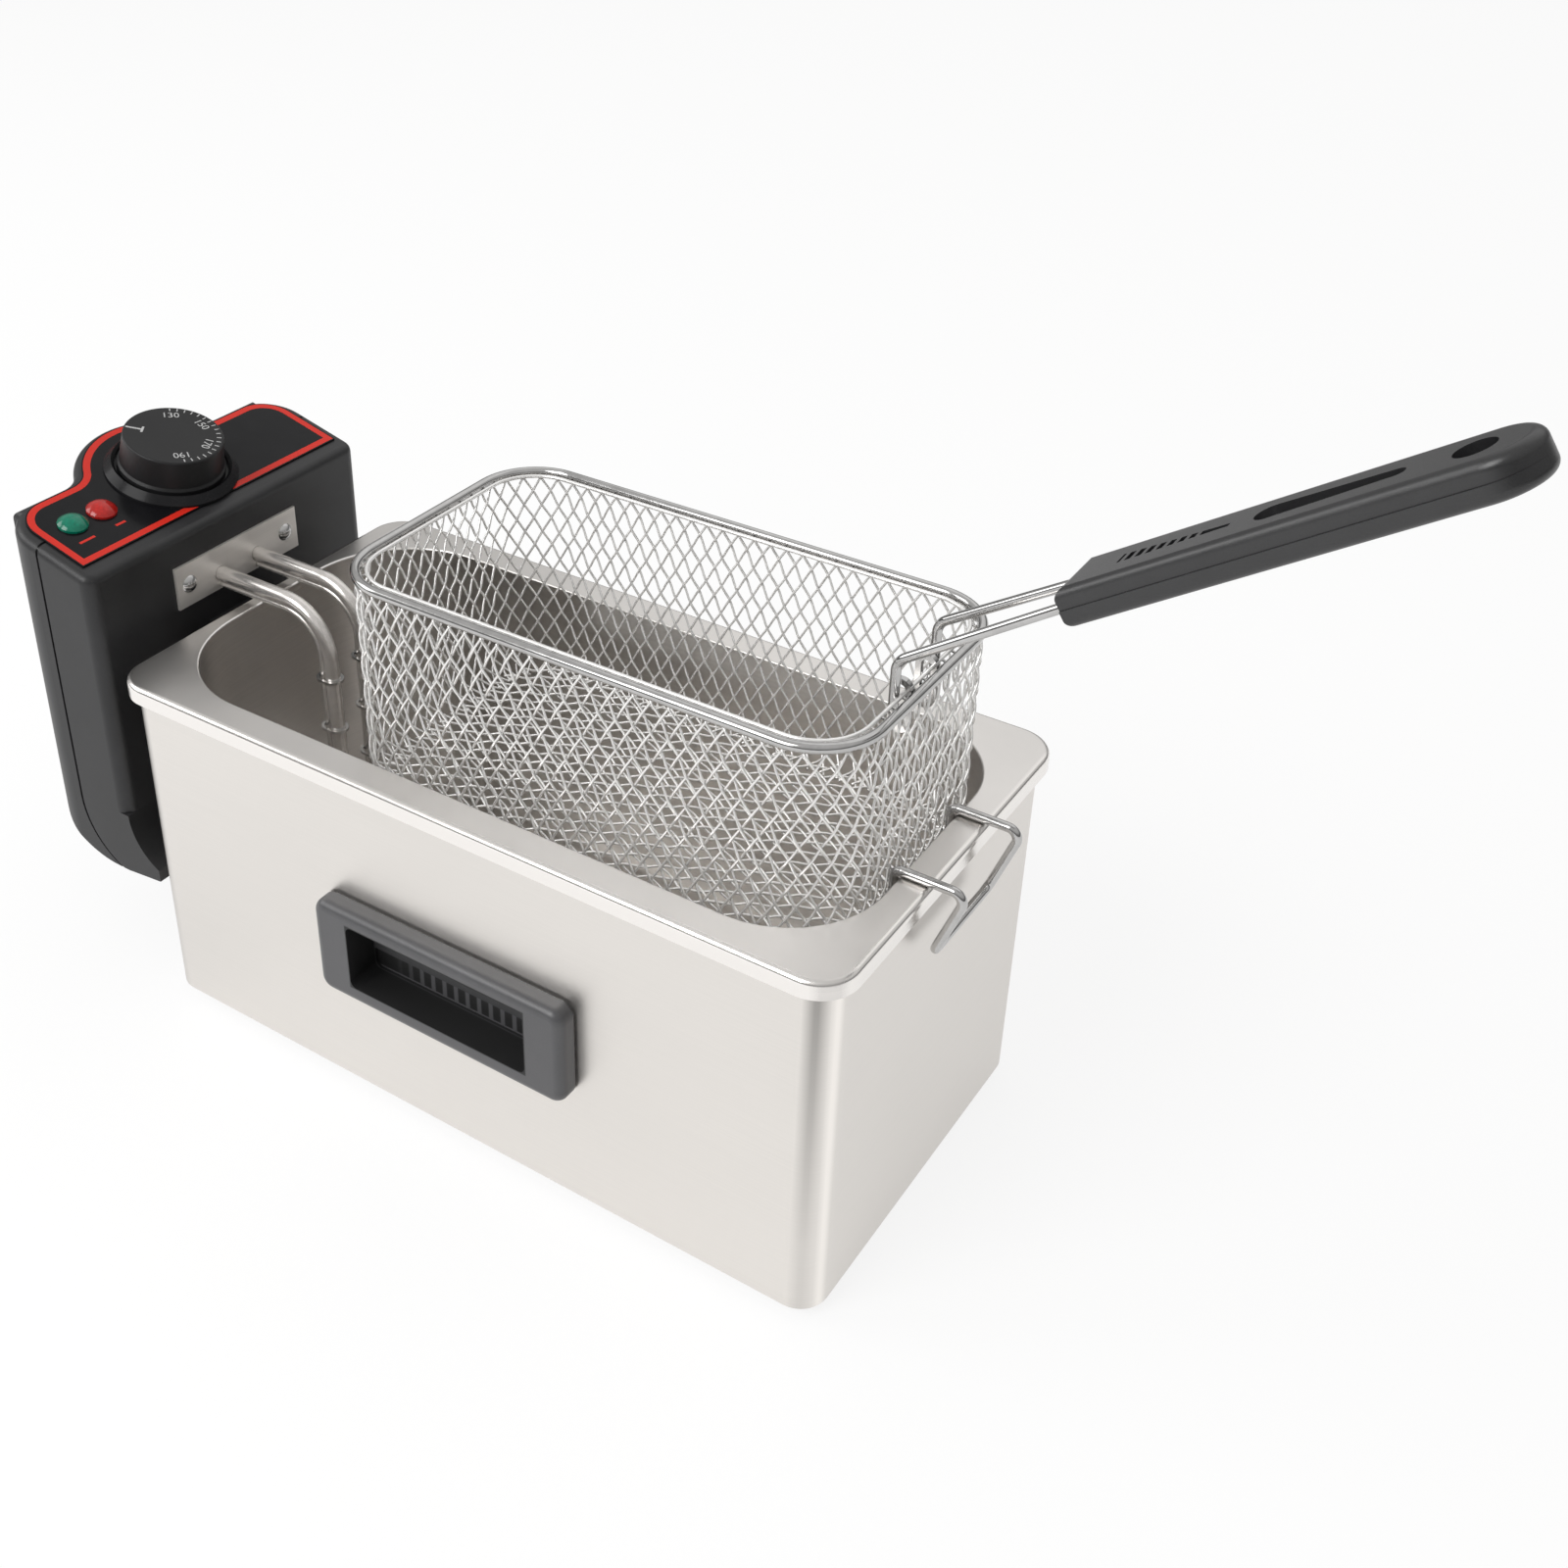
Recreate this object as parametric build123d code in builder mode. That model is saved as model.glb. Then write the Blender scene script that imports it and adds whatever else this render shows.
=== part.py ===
"""Table-top deep fryer: steel housing, lift-out oil pot, lift-off control head and wire basket.

Millimetres. +X runs along the length towards the basket handle, +Y to the rear long side, +Z up.
The origin is the middle of the pressed field under the base plate; the feet stand below it.
"""
import math
import os

from build123d import *

os.makedirs("parts", exist_ok=True)

# Housing wrapper and base
housing_length = 330.0
housing_width = 169.0
housing_height = 160.0
housing_corner = 12.0
housing_wall = 1.0
ground_gap = 4.0
base_flange = 13.0
base_sheet = 1.2
base_inset = 0.8
field_step = 0.6
field_length = 222.0
field_width = 124.0
base_screw_spacing = 200.0
base_screw_inset = 7.0
foot_radius = 9.0
foot_inset = 35.0
foot_stem_radius = 3.0
foot_stem_fit = 0.1
foot_barb = 2.0

# Oil pot
pot_sheet = 1.0
pot_depth = 146.0
pot_floor_round = 10.0
pot_corner_head_end = 48.0
pot_corner_handle_end = 40.0
shelf_long_side = 10.5
shelf_head_end = 3.5
shelf_handle_end = 8.5
lip_overhang = 4.0
lip_drop = 7.5
lip_round = 2.4
mouth_round = 0.9

# Side handles
handle_height = 77.5
frame_length = 122.0
frame_height = 45.0
frame_corner = 6.0
frame_neck = 1.2
frame_neck_inset = 1.0
frame_proud = 9.5
frame_round = 4.0
recess_length = 87.0
recess_height = 30.4
recess_rise = 1.0
recess_corner = 3.0
recess_wall = 1.8
recess_pot_gap = 0.7
recess_fit = 0.3
rib_count = 14
rib_width = 1.8
rib_depth = 1.5
ledge_height = 3.0

# Small fasteners
screw_radius = 1.7
screw_fit = 0.1
screw_head_radius = 3.4
screw_head_height = 2.0
screw_length = 8.0
rivet_radius = 4.0
rivet_height = 2.2

# Control head
head_gap = 19.0
head_width = 160.0
head_depth = 55.0
head_bottom = 48.0
head_round = 42.0
head_corner = 20.0
head_edge = 6.0
head_top_round = 4.0
head_wall = 2.5
panel_front_height = 196.3
panel_slope = 14.0
knob_setback = 35.0
bulge_radius = 41.5
bulge_round = 58.0
bulge_undercut = 2.0
bulge_blend = 15.0
seam_setback = 30.5
seam_round = 34.0
seam_drop = 3.0
seam_groove_width = 1.2
seam_groove_depth = 1.0
foot_arc = 26.0
foot_tip = 6.0
lip_clearance = 0.4
cover_screw_y = 56.0
cover_screw_low = 96.0
cover_screw_high = 168.0
boss_wall = 2.6

# Rail that carries the head
rail_sheet = 1.2
rail_depth = 9.4
rail_half_width = 28.0
rail_slot_half = 21.0
rail_bottom = 92.0
rail_height = 58.0
tongue_side_gap = 1.0
tongue_front_gap = 0.6
notch_gap = 1.0
seat_gap = 0.1

# Panel, knob and pilot lights
panel_sheet = 0.8
panel_front_margin = 8.0
panel_side_margin = 5.2
panel_back_margin = 4.5
panel_bulge_margin = 3.5
panel_corner = 15.0
panel_blend = 13.0
bezel_radius = 29.0
bezel_height = 4.2
bezel_edge = 1.0
bezel_floor = 1.4
bezel_ring = 4.4
bezel_crown = 1.3
knob_radius = 21.6
knob_skirt_radius = 23.3
knob_height = 16.0
knob_gap = 0.8
knob_edge_round = 0.9
shaft_radius = 3.0
shaft_fit = 0.05
bushing_radius = 5.0
bushing_fit = 0.2
thermostat_size = 34.0
thermostat_depth = 24.0
lens_radius = 6.5
lens_dome = 4.0
lens_stem_radius = 4.8
lens_stem_fit = 0.2
lens_stem_length = 9.0
lens_front = 4.0
green_lens_y = -59.0
red_lens_y = -43.5
lamp_radius = 3.6
lamp_length = 14.0

# Heating element, probes and plate
element_radius = 3.25
element_height = 170.0
element_half_gap = 11.0
element_leg_inset = 44.0
element_top_bend = 24.0
element_low_bend = 20.0
element_floor_gap = 11.0
element_outer_half = 45.0
element_far_inset = 34.0
element_near_inset = 22.0
element_tail = 12.0
element_fit = 0.1
terminal_radius = 1.6
terminal_length = 10.0
plate_half_width = 36.3
plate_bottom = 162.8
plate_top = 182.6
plate_sheet = 1.2
plate_rivet_y = 29.0
probe_radius = 1.5
probe_gap = 0.45
probe_length = 92.0
clip_wire = 0.6
clip_gap = 0.15
clip_count = 3
clip_first = 0.35

# Pieces inside the head
block_size = 22.0
block_depth = 12.0
block_height = 78.0
switch_length = 20.0
switch_height = 12.0
switch_depth = 9.0
switch_y = 25.0
switch_z = 118.0
plunger_radius = 1.5
plunger_gap = 0.3
cutout_radius = 9.0
cutout_depth = 13.0
reset_y = -58.0
reset_z = 134.0
reset_radius = 3.2
reset_fit = 0.08
reset_proud = 2.0
reset_depth = 6.0
gland_y = 58.0
gland_z = 134.0
gland_flange_radius = 9.5
gland_flange = 3.0
gland_radius = 6.5
gland_bore = 4.0
gland_length = 12.0
gland_fit = 0.15

# Basket
basket_length = 220.6
basket_width = 118.8
basket_end_gap = 5.1
basket_corner = 25.0
basket_rim_height = 226.6
basket_depth = 92.0
rim_wire_radius = 2.0
net_sheet = 1.4
net_cell_width = 7.3
net_cell_height = 12.9
net_strand = 1.1
net_border = 1.6
floor_cell_width = 10.0
floor_cell_height = 17.0
weld_gap = 0.1
hook_wire = 1.85
hook_half_gap = 22.0
hook_reach = 17.0
hook_drop = 29.5
hook_bend = 3.2
hook_bar_bend = 4.0
hook_rest_gap = 0.3

# Basket handle
leg_wire = 1.8
leg_half_gap = 15.0
leg_grip_half_gap = 11.0
leg_pivot_drop = 8.6
leg_rise = 23.0
leg_pin_end = 7.0
leg_pin_bend = 4.2
leg_bend = 7.0
leg_grip_bend = 14.0
leg_loop_bend = 8.0
bracket_wire = 1.1
bracket_fit = 0.1
bracket_y = 9.4
bracket_over_rim = 3.0
bracket_under_pin = 6.0
handle_slope = 34.0
grip_start = 64.0
grip_length = 146.0
grip_width = 30.0
grip_side_step = 0.6
grip_half_height = 6.5
grip_round = 3.4
grip_wire_fit = 0.1
wire_in_grip = 52.0
hang_hole_radius = 6.2
hang_hole_inset = 18.0
thumb_slot_start = 69.0
thumb_slot_length = 37.0
thumb_slot_wide = 5.4
thumb_slot_narrow = 3.0
thumb_slot_depth = 2.6
rib_slot_start = 18.5
rib_slot_length = 37.0
rib_slot_half = 3.4
rib_slot_depth = 1.4
grip_rib_count = 8
grip_rib_width = 1.5
grip_rib_pitch = 3.6
grip_screw_places = (58.0, 114.0)

# Places worked out from the sizes above
half_length = housing_length / 2
half_width = housing_width / 2
housing_top = housing_height
rim_top = housing_top + pot_sheet
pot_left = -half_length + shelf_head_end
pot_right = half_length - shelf_handle_end
pot_half_width = half_width - shelf_long_side
pot_floor = rim_top - pot_depth
lip_x = -half_length - lip_overhang
head_face = -half_length - head_gap
head_back = head_face - head_depth
knob_x = head_face - knob_setback
seam_x = head_face - seam_setback
slope_tan = math.tan(math.radians(panel_slope))
slope_cos = math.cos(math.radians(panel_slope))
slope_sin = math.sin(math.radians(panel_slope))
knob_z = panel_front_height + knob_setback * slope_tan
inner_face = head_face - head_wall
panel_inner = -head_wall
basket_end = pot_right - basket_end_gap
basket_mid = basket_end - basket_length / 2
basket_floor = basket_rim_height - basket_depth
net_top = basket_rim_height - rim_wire_radius - weld_gap
leg_x = basket_end - rim_wire_radius - weld_gap - 2 * bracket_wire - bracket_fit - leg_wire
pivot_z = basket_rim_height - leg_pivot_drop
bend_z = pivot_z + leg_rise
handle_cos = math.cos(math.radians(handle_slope))
handle_sin = math.sin(math.radians(handle_slope))
grip_end = grip_start + grip_length

# Sloping panel frame at the knob, and sloping grip frame at the leg bend
PANEL = Plane(origin=(knob_x, 0, knob_z), x_dir=(slope_cos, 0, -slope_sin), z_dir=(slope_sin, 0, slope_cos))
GRIP = Plane(origin=(leg_x, 0, bend_z), x_dir=(handle_cos, 0, handle_sin), z_dir=(-handle_sin, 0, handle_cos))


def panel_level(x):
    """Height of the head's sloping top above x."""
    return panel_front_height + (head_face - x) * slope_tan


def side_plane(side, out=0.0):
    """Plane on a long wall, centred on the side handle, facing outwards."""
    return Plane(origin=(0, side * (half_width + out), handle_height), x_dir=(-side, 0, 0), z_dir=(0, side, 0))


def panel_spot(u, v):
    """Plane that cuts the panel at right angles through the point (u, v)."""
    return Plane(origin=PANEL.from_local_coords((u, v, 0)), x_dir=PANEL.x_dir, z_dir=(0, -1, 0))


def panel_axis(u, v):
    """Axis square to the panel through the point (u, v)."""
    return Axis(PANEL.from_local_coords((u, v, 0)), PANEL.z_dir)


def pot_outline(grow):
    """Pot mouth, grown outwards, with wide corners at the head end."""
    with Locations(((pot_left + pot_right) / 2, 0)):
        Rectangle(pot_right - pot_left + 2 * grow, 2 * (pot_half_width + grow))
    fillet(vertices().group_by(Axis.X)[0], pot_corner_head_end + grow)
    fillet(vertices().group_by(Axis.X)[-1], pot_corner_handle_end + grow)


# Housing wrapper: four walls, turned in at the foot, with windows for the handles
with BuildPart() as outer_housing:
    with BuildSketch(Plane.XY.offset(base_sheet)):
        RectangleRounded(housing_length, housing_width, housing_corner)
    extrude(amount=housing_top - base_sheet)
    with BuildSketch(Plane.XY.offset(base_sheet + housing_wall)):
        RectangleRounded(
            housing_length - 2 * housing_wall, housing_width - 2 * housing_wall, housing_corner - housing_wall
        )
    extrude(amount=housing_height, mode=Mode.SUBTRACT)
    with BuildSketch(Plane.XY.offset(base_sheet)):
        RectangleRounded(housing_length - 2 * base_flange, housing_width - 2 * base_flange, housing_corner)
    extrude(amount=housing_wall, mode=Mode.SUBTRACT)
    with BuildSketch(side_plane(-1, housing_wall)):
        with Locations((0, recess_rise)):
            RectangleRounded(
                recess_length + 2 * (recess_wall + recess_fit),
                recess_height + 2 * (recess_wall + recess_fit),
                recess_corner + recess_wall + recess_fit,
            )
        frame_screw_x = (frame_length + recess_length) / 4 + recess_wall / 2
        with Locations((-frame_screw_x, 0), (frame_screw_x, 0)):
            Circle(screw_radius + screw_fit)
    extrude(amount=-housing_width - 2 * housing_wall, mode=Mode.SUBTRACT)
    base_screw_y = half_width - base_screw_inset
    with BuildSketch(Plane.XY.offset(base_sheet)):
        with GridLocations(base_screw_spacing, 2 * base_screw_y, 2, 2):
            Circle(screw_radius + screw_fit)
    extrude(amount=housing_wall, mode=Mode.SUBTRACT)

# Base plate under the turned-in foot of the wrapper, with a field pressed down in its middle
BASE = Plane.XY.offset(field_step)
with BuildPart() as base_plate:
    foot_x = half_length - foot_inset
    foot_y = half_width - foot_inset
    with BuildSketch(BASE):
        RectangleRounded(
            housing_length - 2 * base_inset, housing_width - 2 * base_inset, housing_corner - base_inset
        )
        with GridLocations(2 * foot_x, 2 * foot_y, 2, 2):
            Circle(foot_stem_radius + foot_stem_fit, mode=Mode.SUBTRACT)
        with GridLocations(base_screw_spacing, 2 * base_screw_y, 2, 2):
            Circle(screw_radius + screw_fit, mode=Mode.SUBTRACT)
    extrude(amount=base_sheet - field_step)
    with BuildSketch(Plane.XY):
        RectangleRounded(field_length, field_width, housing_corner)
    extrude(amount=field_step)
    with BuildSketch(BASE):
        RectangleRounded(field_length - 2 * field_step, field_width - 2 * field_step, housing_corner - field_step)
    extrude(amount=base_sheet - field_step, mode=Mode.SUBTRACT)

# Screws that hold the base plate to the wrapper's foot
with BuildPart() as base_screws:
    with BuildSketch(BASE):
        with GridLocations(base_screw_spacing, 2 * base_screw_y, 2, 2):
            Circle(screw_head_radius)
    extrude(amount=-screw_head_height)
    with BuildSketch(BASE):
        with GridLocations(base_screw_spacing, 2 * base_screw_y, 2, 2):
            Circle(screw_radius)
    extrude(amount=screw_length)

# Rubber feet with barbed stems through the base plate
with BuildPart() as feet:
    with BuildSketch(BASE):
        with GridLocations(2 * foot_x, 2 * foot_y, 2, 2):
            Circle(foot_radius)
    extrude(amount=-ground_gap - field_step)
    chamfer(edges().group_by(Axis.Z)[0], ground_gap / 4)
    with BuildSketch(BASE):
        with GridLocations(2 * foot_x, 2 * foot_y, 2, 2):
            Circle(foot_stem_radius)
    extrude(amount=base_sheet - field_step + foot_barb)
    with BuildSketch(Plane.XY.offset(base_sheet)):
        with GridLocations(2 * foot_x, 2 * foot_y, 2, 2):
            Circle(foot_stem_radius + foot_barb / 2)
    extrude(amount=foot_barb)

# Side handles: rounded frame on a set-back neck outside, finger recess inside the wall
side_handles = {}
recess_back = shelf_long_side - pot_sheet - recess_pot_gap
recess_deep = recess_back - recess_wall
for handle_name, side in (("side_handle_front", -1), ("side_handle_rear", 1)):
    with BuildPart() as side_handle:
        with BuildSketch(side_plane(side)):
            RectangleRounded(
                frame_length - 2 * frame_neck_inset,
                frame_height - 2 * frame_neck_inset,
                frame_corner - frame_neck_inset,
            )
        extrude(amount=frame_neck)
        with BuildSketch(side_plane(side, frame_neck)):
            RectangleRounded(frame_length, frame_height, frame_corner)
        extrude(amount=frame_proud - frame_neck)
        fillet(edges().group_by(Axis((0, 0, 0), (0, side, 0)))[-1], frame_round)
        with BuildSketch(side_plane(side)):
            with Locations((0, recess_rise)):
                RectangleRounded(
                    recess_length + 2 * recess_wall, recess_height + 2 * recess_wall, recess_corner + recess_wall
                )
        extrude(amount=-recess_back)
        with BuildSketch(side_plane(side, frame_proud)):
            with Locations((0, recess_rise)):
                RectangleRounded(recess_length, recess_height, recess_corner)
        extrude(amount=-frame_proud - recess_deep, mode=Mode.SUBTRACT)
        with BuildSketch(side_plane(side, -recess_deep)):
            rib_pitch = recess_length / (rib_count + 1)
            with Locations((0, recess_rise + recess_height / 4)):
                with GridLocations(rib_pitch, 0, rib_count, 1):
                    Rectangle(rib_width, recess_height / 2)
            with Locations((0, -ledge_height)):
                Rectangle(recess_length, ledge_height)
        extrude(amount=rib_depth)
        with BuildSketch(side_plane(side)):
            with Locations((-frame_screw_x, 0), (frame_screw_x, 0)):
                Circle(screw_radius + screw_fit)
        extrude(amount=screw_length - housing_wall, mode=Mode.SUBTRACT)
    side_handles[handle_name] = side_handle

# Screws that hold the side handles, driven from inside the wall
with BuildPart() as side_handle_screws:
    for side in (-1, 1):
        with BuildSketch(side_plane(side, -housing_wall)):
            with Locations((-frame_screw_x, 0), (frame_screw_x, 0)):
                Circle(screw_head_radius)
        extrude(amount=-screw_head_height)
        with BuildSketch(side_plane(side, -housing_wall)):
            with Locations((-frame_screw_x, 0), (frame_screw_x, 0)):
                Circle(screw_radius)
        extrude(amount=screw_length - seat_gap)

# Rail spot-welded to the head end wall: a C-section closed at its foot
rail_front = -half_length - rail_sheet - rail_depth
with BuildPart() as head_rail:
    with BuildSketch(Plane.XY.offset(rail_bottom)):
        rail_total = 2 * rail_sheet + rail_depth
        with Locations((-half_length - rail_total / 2, 0)):
            Rectangle(rail_total, 2 * (rail_half_width + rail_sheet))
            Rectangle(rail_depth, 2 * rail_half_width, mode=Mode.SUBTRACT)
        with Locations((rail_front - rail_sheet / 2, 0)):
            Rectangle(rail_sheet, 2 * rail_slot_half, mode=Mode.SUBTRACT)
    extrude(amount=rail_height)
    with BuildSketch(Plane.XY.offset(rail_bottom)):
        with Locations((-half_length - rail_total / 2, 0)):
            Rectangle(rail_total, 2 * (rail_half_width + rail_sheet))
    extrude(amount=rail_sheet)

# Oil pot: drawn well, shelf and turned-down lip over the housing
with BuildPart() as pot_cavity:
    with BuildSketch(Plane.XY.offset(pot_floor)):
        pot_outline(0)
    extrude(amount=pot_depth + pot_sheet)
    fillet(edges().group_by(Axis.Z)[0], pot_floor_round)

with BuildPart() as oil_pot:
    with BuildSketch(Plane.XY.offset(rim_top - lip_drop)):
        RectangleRounded(
            housing_length + 2 * lip_overhang, housing_width + 2 * lip_overhang, housing_corner + lip_overhang
        )
    extrude(amount=lip_drop)
    fillet(edges().group_by(Axis.Z)[-1], lip_round)
    lip_inner = lip_overhang - pot_sheet
    with BuildSketch(Plane.XY.offset(rim_top - lip_drop)):
        RectangleRounded(
            housing_length + 2 * lip_inner, housing_width + 2 * lip_inner, housing_corner + lip_inner
        )
    extrude(amount=lip_drop - pot_sheet, mode=Mode.SUBTRACT)
    with BuildSketch(Plane.XY.offset(pot_floor - pot_sheet)):
        pot_outline(pot_sheet)
    extrude(amount=pot_depth)
    fillet(edges().group_by(Axis.Z)[0], pot_floor_round + pot_sheet)
    add(pot_cavity.part, mode=Mode.SUBTRACT)
    shelf = faces().filter_by(Plane.XY).sort_by(Axis.Z)[-1]
    fillet(shelf.inner_wires()[0].edges(), mouth_round)


def shoulder_outline(inset):
    """Plan of the head without its bulge."""
    with Locations(((head_face + head_back) / 2, 0)):
        Rectangle(head_depth - 2 * inset, head_width - 2 * inset)
    fillet(vertices().group_by(Axis.X)[0], head_corner - inset)
    fillet(vertices().group_by(Axis.X)[-1], head_edge - inset)


def bulge_outline(inset, radius, blend, back, front):
    """Plan of the round bulge behind the knob, blended into the straight back."""
    half = (head_width - head_corner) / 2 - inset
    with Locations(((back + front) / 2, 0)):
        Rectangle(front - back, 2 * half)
    with Locations((knob_x, 0)):
        Circle(radius)
    inner_corners = vertices().filter_by(lambda v: abs(v.X - back) < inset + 0.5 and abs(v.Y) < radius)
    fillet(inner_corners, blend)


def side_outline(inset, back, round_radius):
    """Side view of the head: upright front, sloping top, back rounded into the bottom."""
    front = head_face - inset
    rear = back + inset
    drop = inset / slope_cos
    low = head_bottom + inset
    turn = round_radius - inset
    with BuildLine() as outline:
        Polyline(
            (rear, low + turn),
            (rear, panel_level(rear) - drop),
            (front, panel_level(front) - drop),
            (front, low),
            (rear + turn, low),
        )
        CenterArc((rear + turn, low + turn), turn, 180, 90)
    make_face(outline.edges())


def head_mass(inset):
    """Whole head with every face moved inwards by inset."""
    reach = panel_level(knob_x - bulge_radius) + head_wall
    with BuildPart() as shoulders:
        with BuildSketch(Plane.XY):
            shoulder_outline(inset)
        extrude(amount=reach)
        with BuildSketch(Plane.XZ):
            side_outline(inset, head_back, head_round)
        extrude(amount=head_width, both=True, mode=Mode.INTERSECT)
    with BuildPart() as bulge:
        with BuildSketch(Plane.XY):
            bulge_outline(inset, bulge_radius - inset, bulge_blend + inset, head_back + inset, head_face - inset)
        extrude(amount=reach)
        with BuildSketch(Plane.XZ):
            side_outline(inset, knob_x - bulge_radius - bulge_undercut, bulge_round)
        extrude(amount=head_width, both=True, mode=Mode.INTERSECT)
    with BuildPart() as mass:
        add(shoulders.part)
        add(bulge.part)
    return mass.part


# Head blank with a softened top edge, its hollow, and the seam between its two shells
with BuildPart() as head_blank:
    add(head_mass(0))
    top_face = faces().filter_by(PANEL).sort_by(Axis.Z)[-1]
    fillet(top_face.edges(), head_top_round)

with BuildPart() as head_hollow:
    add(head_mass(head_wall))

with BuildPart() as groove_core:
    add(head_mass(seam_groove_depth))

with BuildPart() as behind_seam:
    seam_low = head_bottom + seam_round - seam_drop
    far_back = head_back - head_width
    with BuildSketch(Plane.XZ):
        with BuildLine():
            Polyline(
                (seam_x, seam_low),
                (seam_x, panel_level(far_back)),
                (far_back, panel_level(far_back)),
                (far_back, -head_width),
                (seam_x + seam_round, -head_width),
                (seam_x + seam_round, seam_low - seam_round),
            )
            CenterArc((seam_x + seam_round, seam_low), seam_round, 180, 90)
        make_face()
    extrude(amount=head_width, both=True)

with BuildPart() as seam_groove:
    add(Pos(seam_groove_width, 0, 0) * behind_seam.part)
    add(groove_core.part, mode=Mode.SUBTRACT)

# Places on the element that the front shell is drilled for
probe_offset = element_radius + probe_radius + probe_gap
leg_spots = [(-element_half_gap, element_height), (element_half_gap, element_height)]
probe_spots = [(y, element_height - probe_offset) for y, z in leg_spots]
plate_mid = (plate_bottom + plate_top) / 2
rivet_spots = [(-plate_rivet_y, plate_mid), (plate_rivet_y, plate_mid)]
cover_spots = [(y, z) for y in (-cover_screw_y, cover_screw_y) for z in (cover_screw_low, cover_screw_high)]
lens_spots = [(lens_front, green_lens_y), (lens_front, red_lens_y)]
boss_radius = screw_radius + boss_wall
tongue_front = rail_front + tongue_front_gap
tongue_back = lip_x - lip_clearance
tongue_bottom = rail_bottom + rail_sheet + seat_gap

# Front shell: faces the housing, carries the panel, the element plate and the tongue
with BuildPart() as head_front_shell:
    add(head_blank.part)
    with BuildSketch(Plane.XZ):
        tip_x = lip_x - lip_clearance
        tip_drop = math.sqrt(foot_arc**2 - (head_face + foot_arc - tip_x) ** 2)
        arc_z = head_bottom + foot_tip + tip_drop + head_wall
        with BuildLine():
            Polyline(
                (head_face, arc_z),
                (head_face - head_edge, arc_z),
                (head_face - head_edge, head_bottom),
                (tip_x, head_bottom + head_wall),
                (tip_x, arc_z - tip_drop),
            )
            RadiusArc((head_face, arc_z), (tip_x, arc_z - tip_drop), -foot_arc)
        make_face()
    extrude(amount=head_width / 2, both=True)
    with BuildSketch(Plane.XY):
        notch_front = rail_front - rail_sheet - notch_gap
        with Locations(((notch_front + lip_x) / 2, 0)):
            Rectangle(lip_x - notch_front, 2 * (rail_half_width + rail_sheet + notch_gap))
    extrude(amount=rail_bottom, mode=Mode.SUBTRACT)
    add(behind_seam.part, mode=Mode.SUBTRACT)
    add(seam_groove.part, mode=Mode.SUBTRACT)
    add(head_hollow.part, mode=Mode.SUBTRACT)
    with BuildSketch(Plane.YZ.offset(inner_face)):
        with Locations(*cover_spots):
            Circle(boss_radius)
    extrude(amount=seam_x - inner_face)
    with BuildSketch(Plane.YZ.offset(seam_x)):
        with Locations(*cover_spots):
            Circle(screw_radius + screw_fit)
    extrude(amount=screw_length, mode=Mode.SUBTRACT)
    with BuildSketch(Plane.XY.offset(tongue_bottom)):
        with Locations(((tongue_front + tongue_back) / 2, 0)):
            Rectangle(tongue_back - tongue_front, 2 * (rail_half_width - tongue_side_gap))
        with Locations(((tongue_front + head_face) / 2, 0)):
            Rectangle(tongue_front - head_face, 2 * (rail_slot_half - tongue_side_gap))
    extrude(amount=rail_height - rail_sheet)
    with BuildSketch(Plane.YZ.offset(inner_face)):
        with Locations(*leg_spots):
            Circle(element_radius + element_fit)
        with Locations(*probe_spots):
            Circle(probe_radius + element_fit)
        with Locations((switch_y, switch_z)):
            Circle(plunger_radius + element_fit)
    extrude(amount=head_wall, mode=Mode.SUBTRACT)
    with BuildSketch(PANEL.offset(panel_inner)):
        Circle(bushing_radius + bushing_fit)
        with Locations(*lens_spots):
            Circle(lens_stem_radius + lens_stem_fit)
    extrude(amount=head_wall, mode=Mode.SUBTRACT)

# Rear cover: wraps round the bulge, with sunk screw posts, reset hole and cord hole
with BuildPart() as head_rear_cover:
    add(head_blank.part)
    add(behind_seam.part, mode=Mode.INTERSECT)
    add(head_hollow.part, mode=Mode.SUBTRACT)
    cover_inner = head_back + head_wall
    with BuildSketch(Plane.YZ.offset(seam_x)):
        with Locations(*cover_spots):
            Circle(screw_head_radius + boss_wall)
    extrude(amount=cover_inner - seam_x)
    with BuildSketch(Plane.YZ.offset(seam_x)):
        with Locations(*cover_spots):
            Circle(screw_radius + screw_fit)
    extrude(amount=head_back - seam_x, mode=Mode.SUBTRACT)
    with BuildSketch(Plane.YZ.offset(seam_x - head_wall)):
        with Locations(*cover_spots):
            Circle(screw_head_radius + screw_fit)
    extrude(amount=head_back - seam_x, mode=Mode.SUBTRACT)
    with BuildSketch(Plane.YZ.offset(head_back)):
        with Locations((reset_y, reset_z)):
            Circle(reset_radius + reset_fit)
        with Locations((gland_y, gland_z)):
            Circle(gland_radius + gland_fit)
    extrude(amount=head_wall, mode=Mode.SUBTRACT)
    with BuildSketch(PANEL.offset(panel_inner)):
        Circle(bushing_radius + bushing_fit)
        with Locations(*lens_spots):
            Circle(lens_stem_radius + lens_stem_fit)
    extrude(amount=head_wall, mode=Mode.SUBTRACT)

# Screws of the rear cover
with BuildPart() as cover_screws:
    head_seat = seam_x - head_wall
    with BuildSketch(Plane.YZ.offset(head_seat)):
        with Locations(*cover_spots):
            Circle(screw_head_radius)
    extrude(amount=-screw_head_height)
    with BuildSketch(Plane.YZ.offset(head_seat)):
        with Locations(*cover_spots):
            Circle(screw_radius)
    extrude(amount=screw_length)

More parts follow.
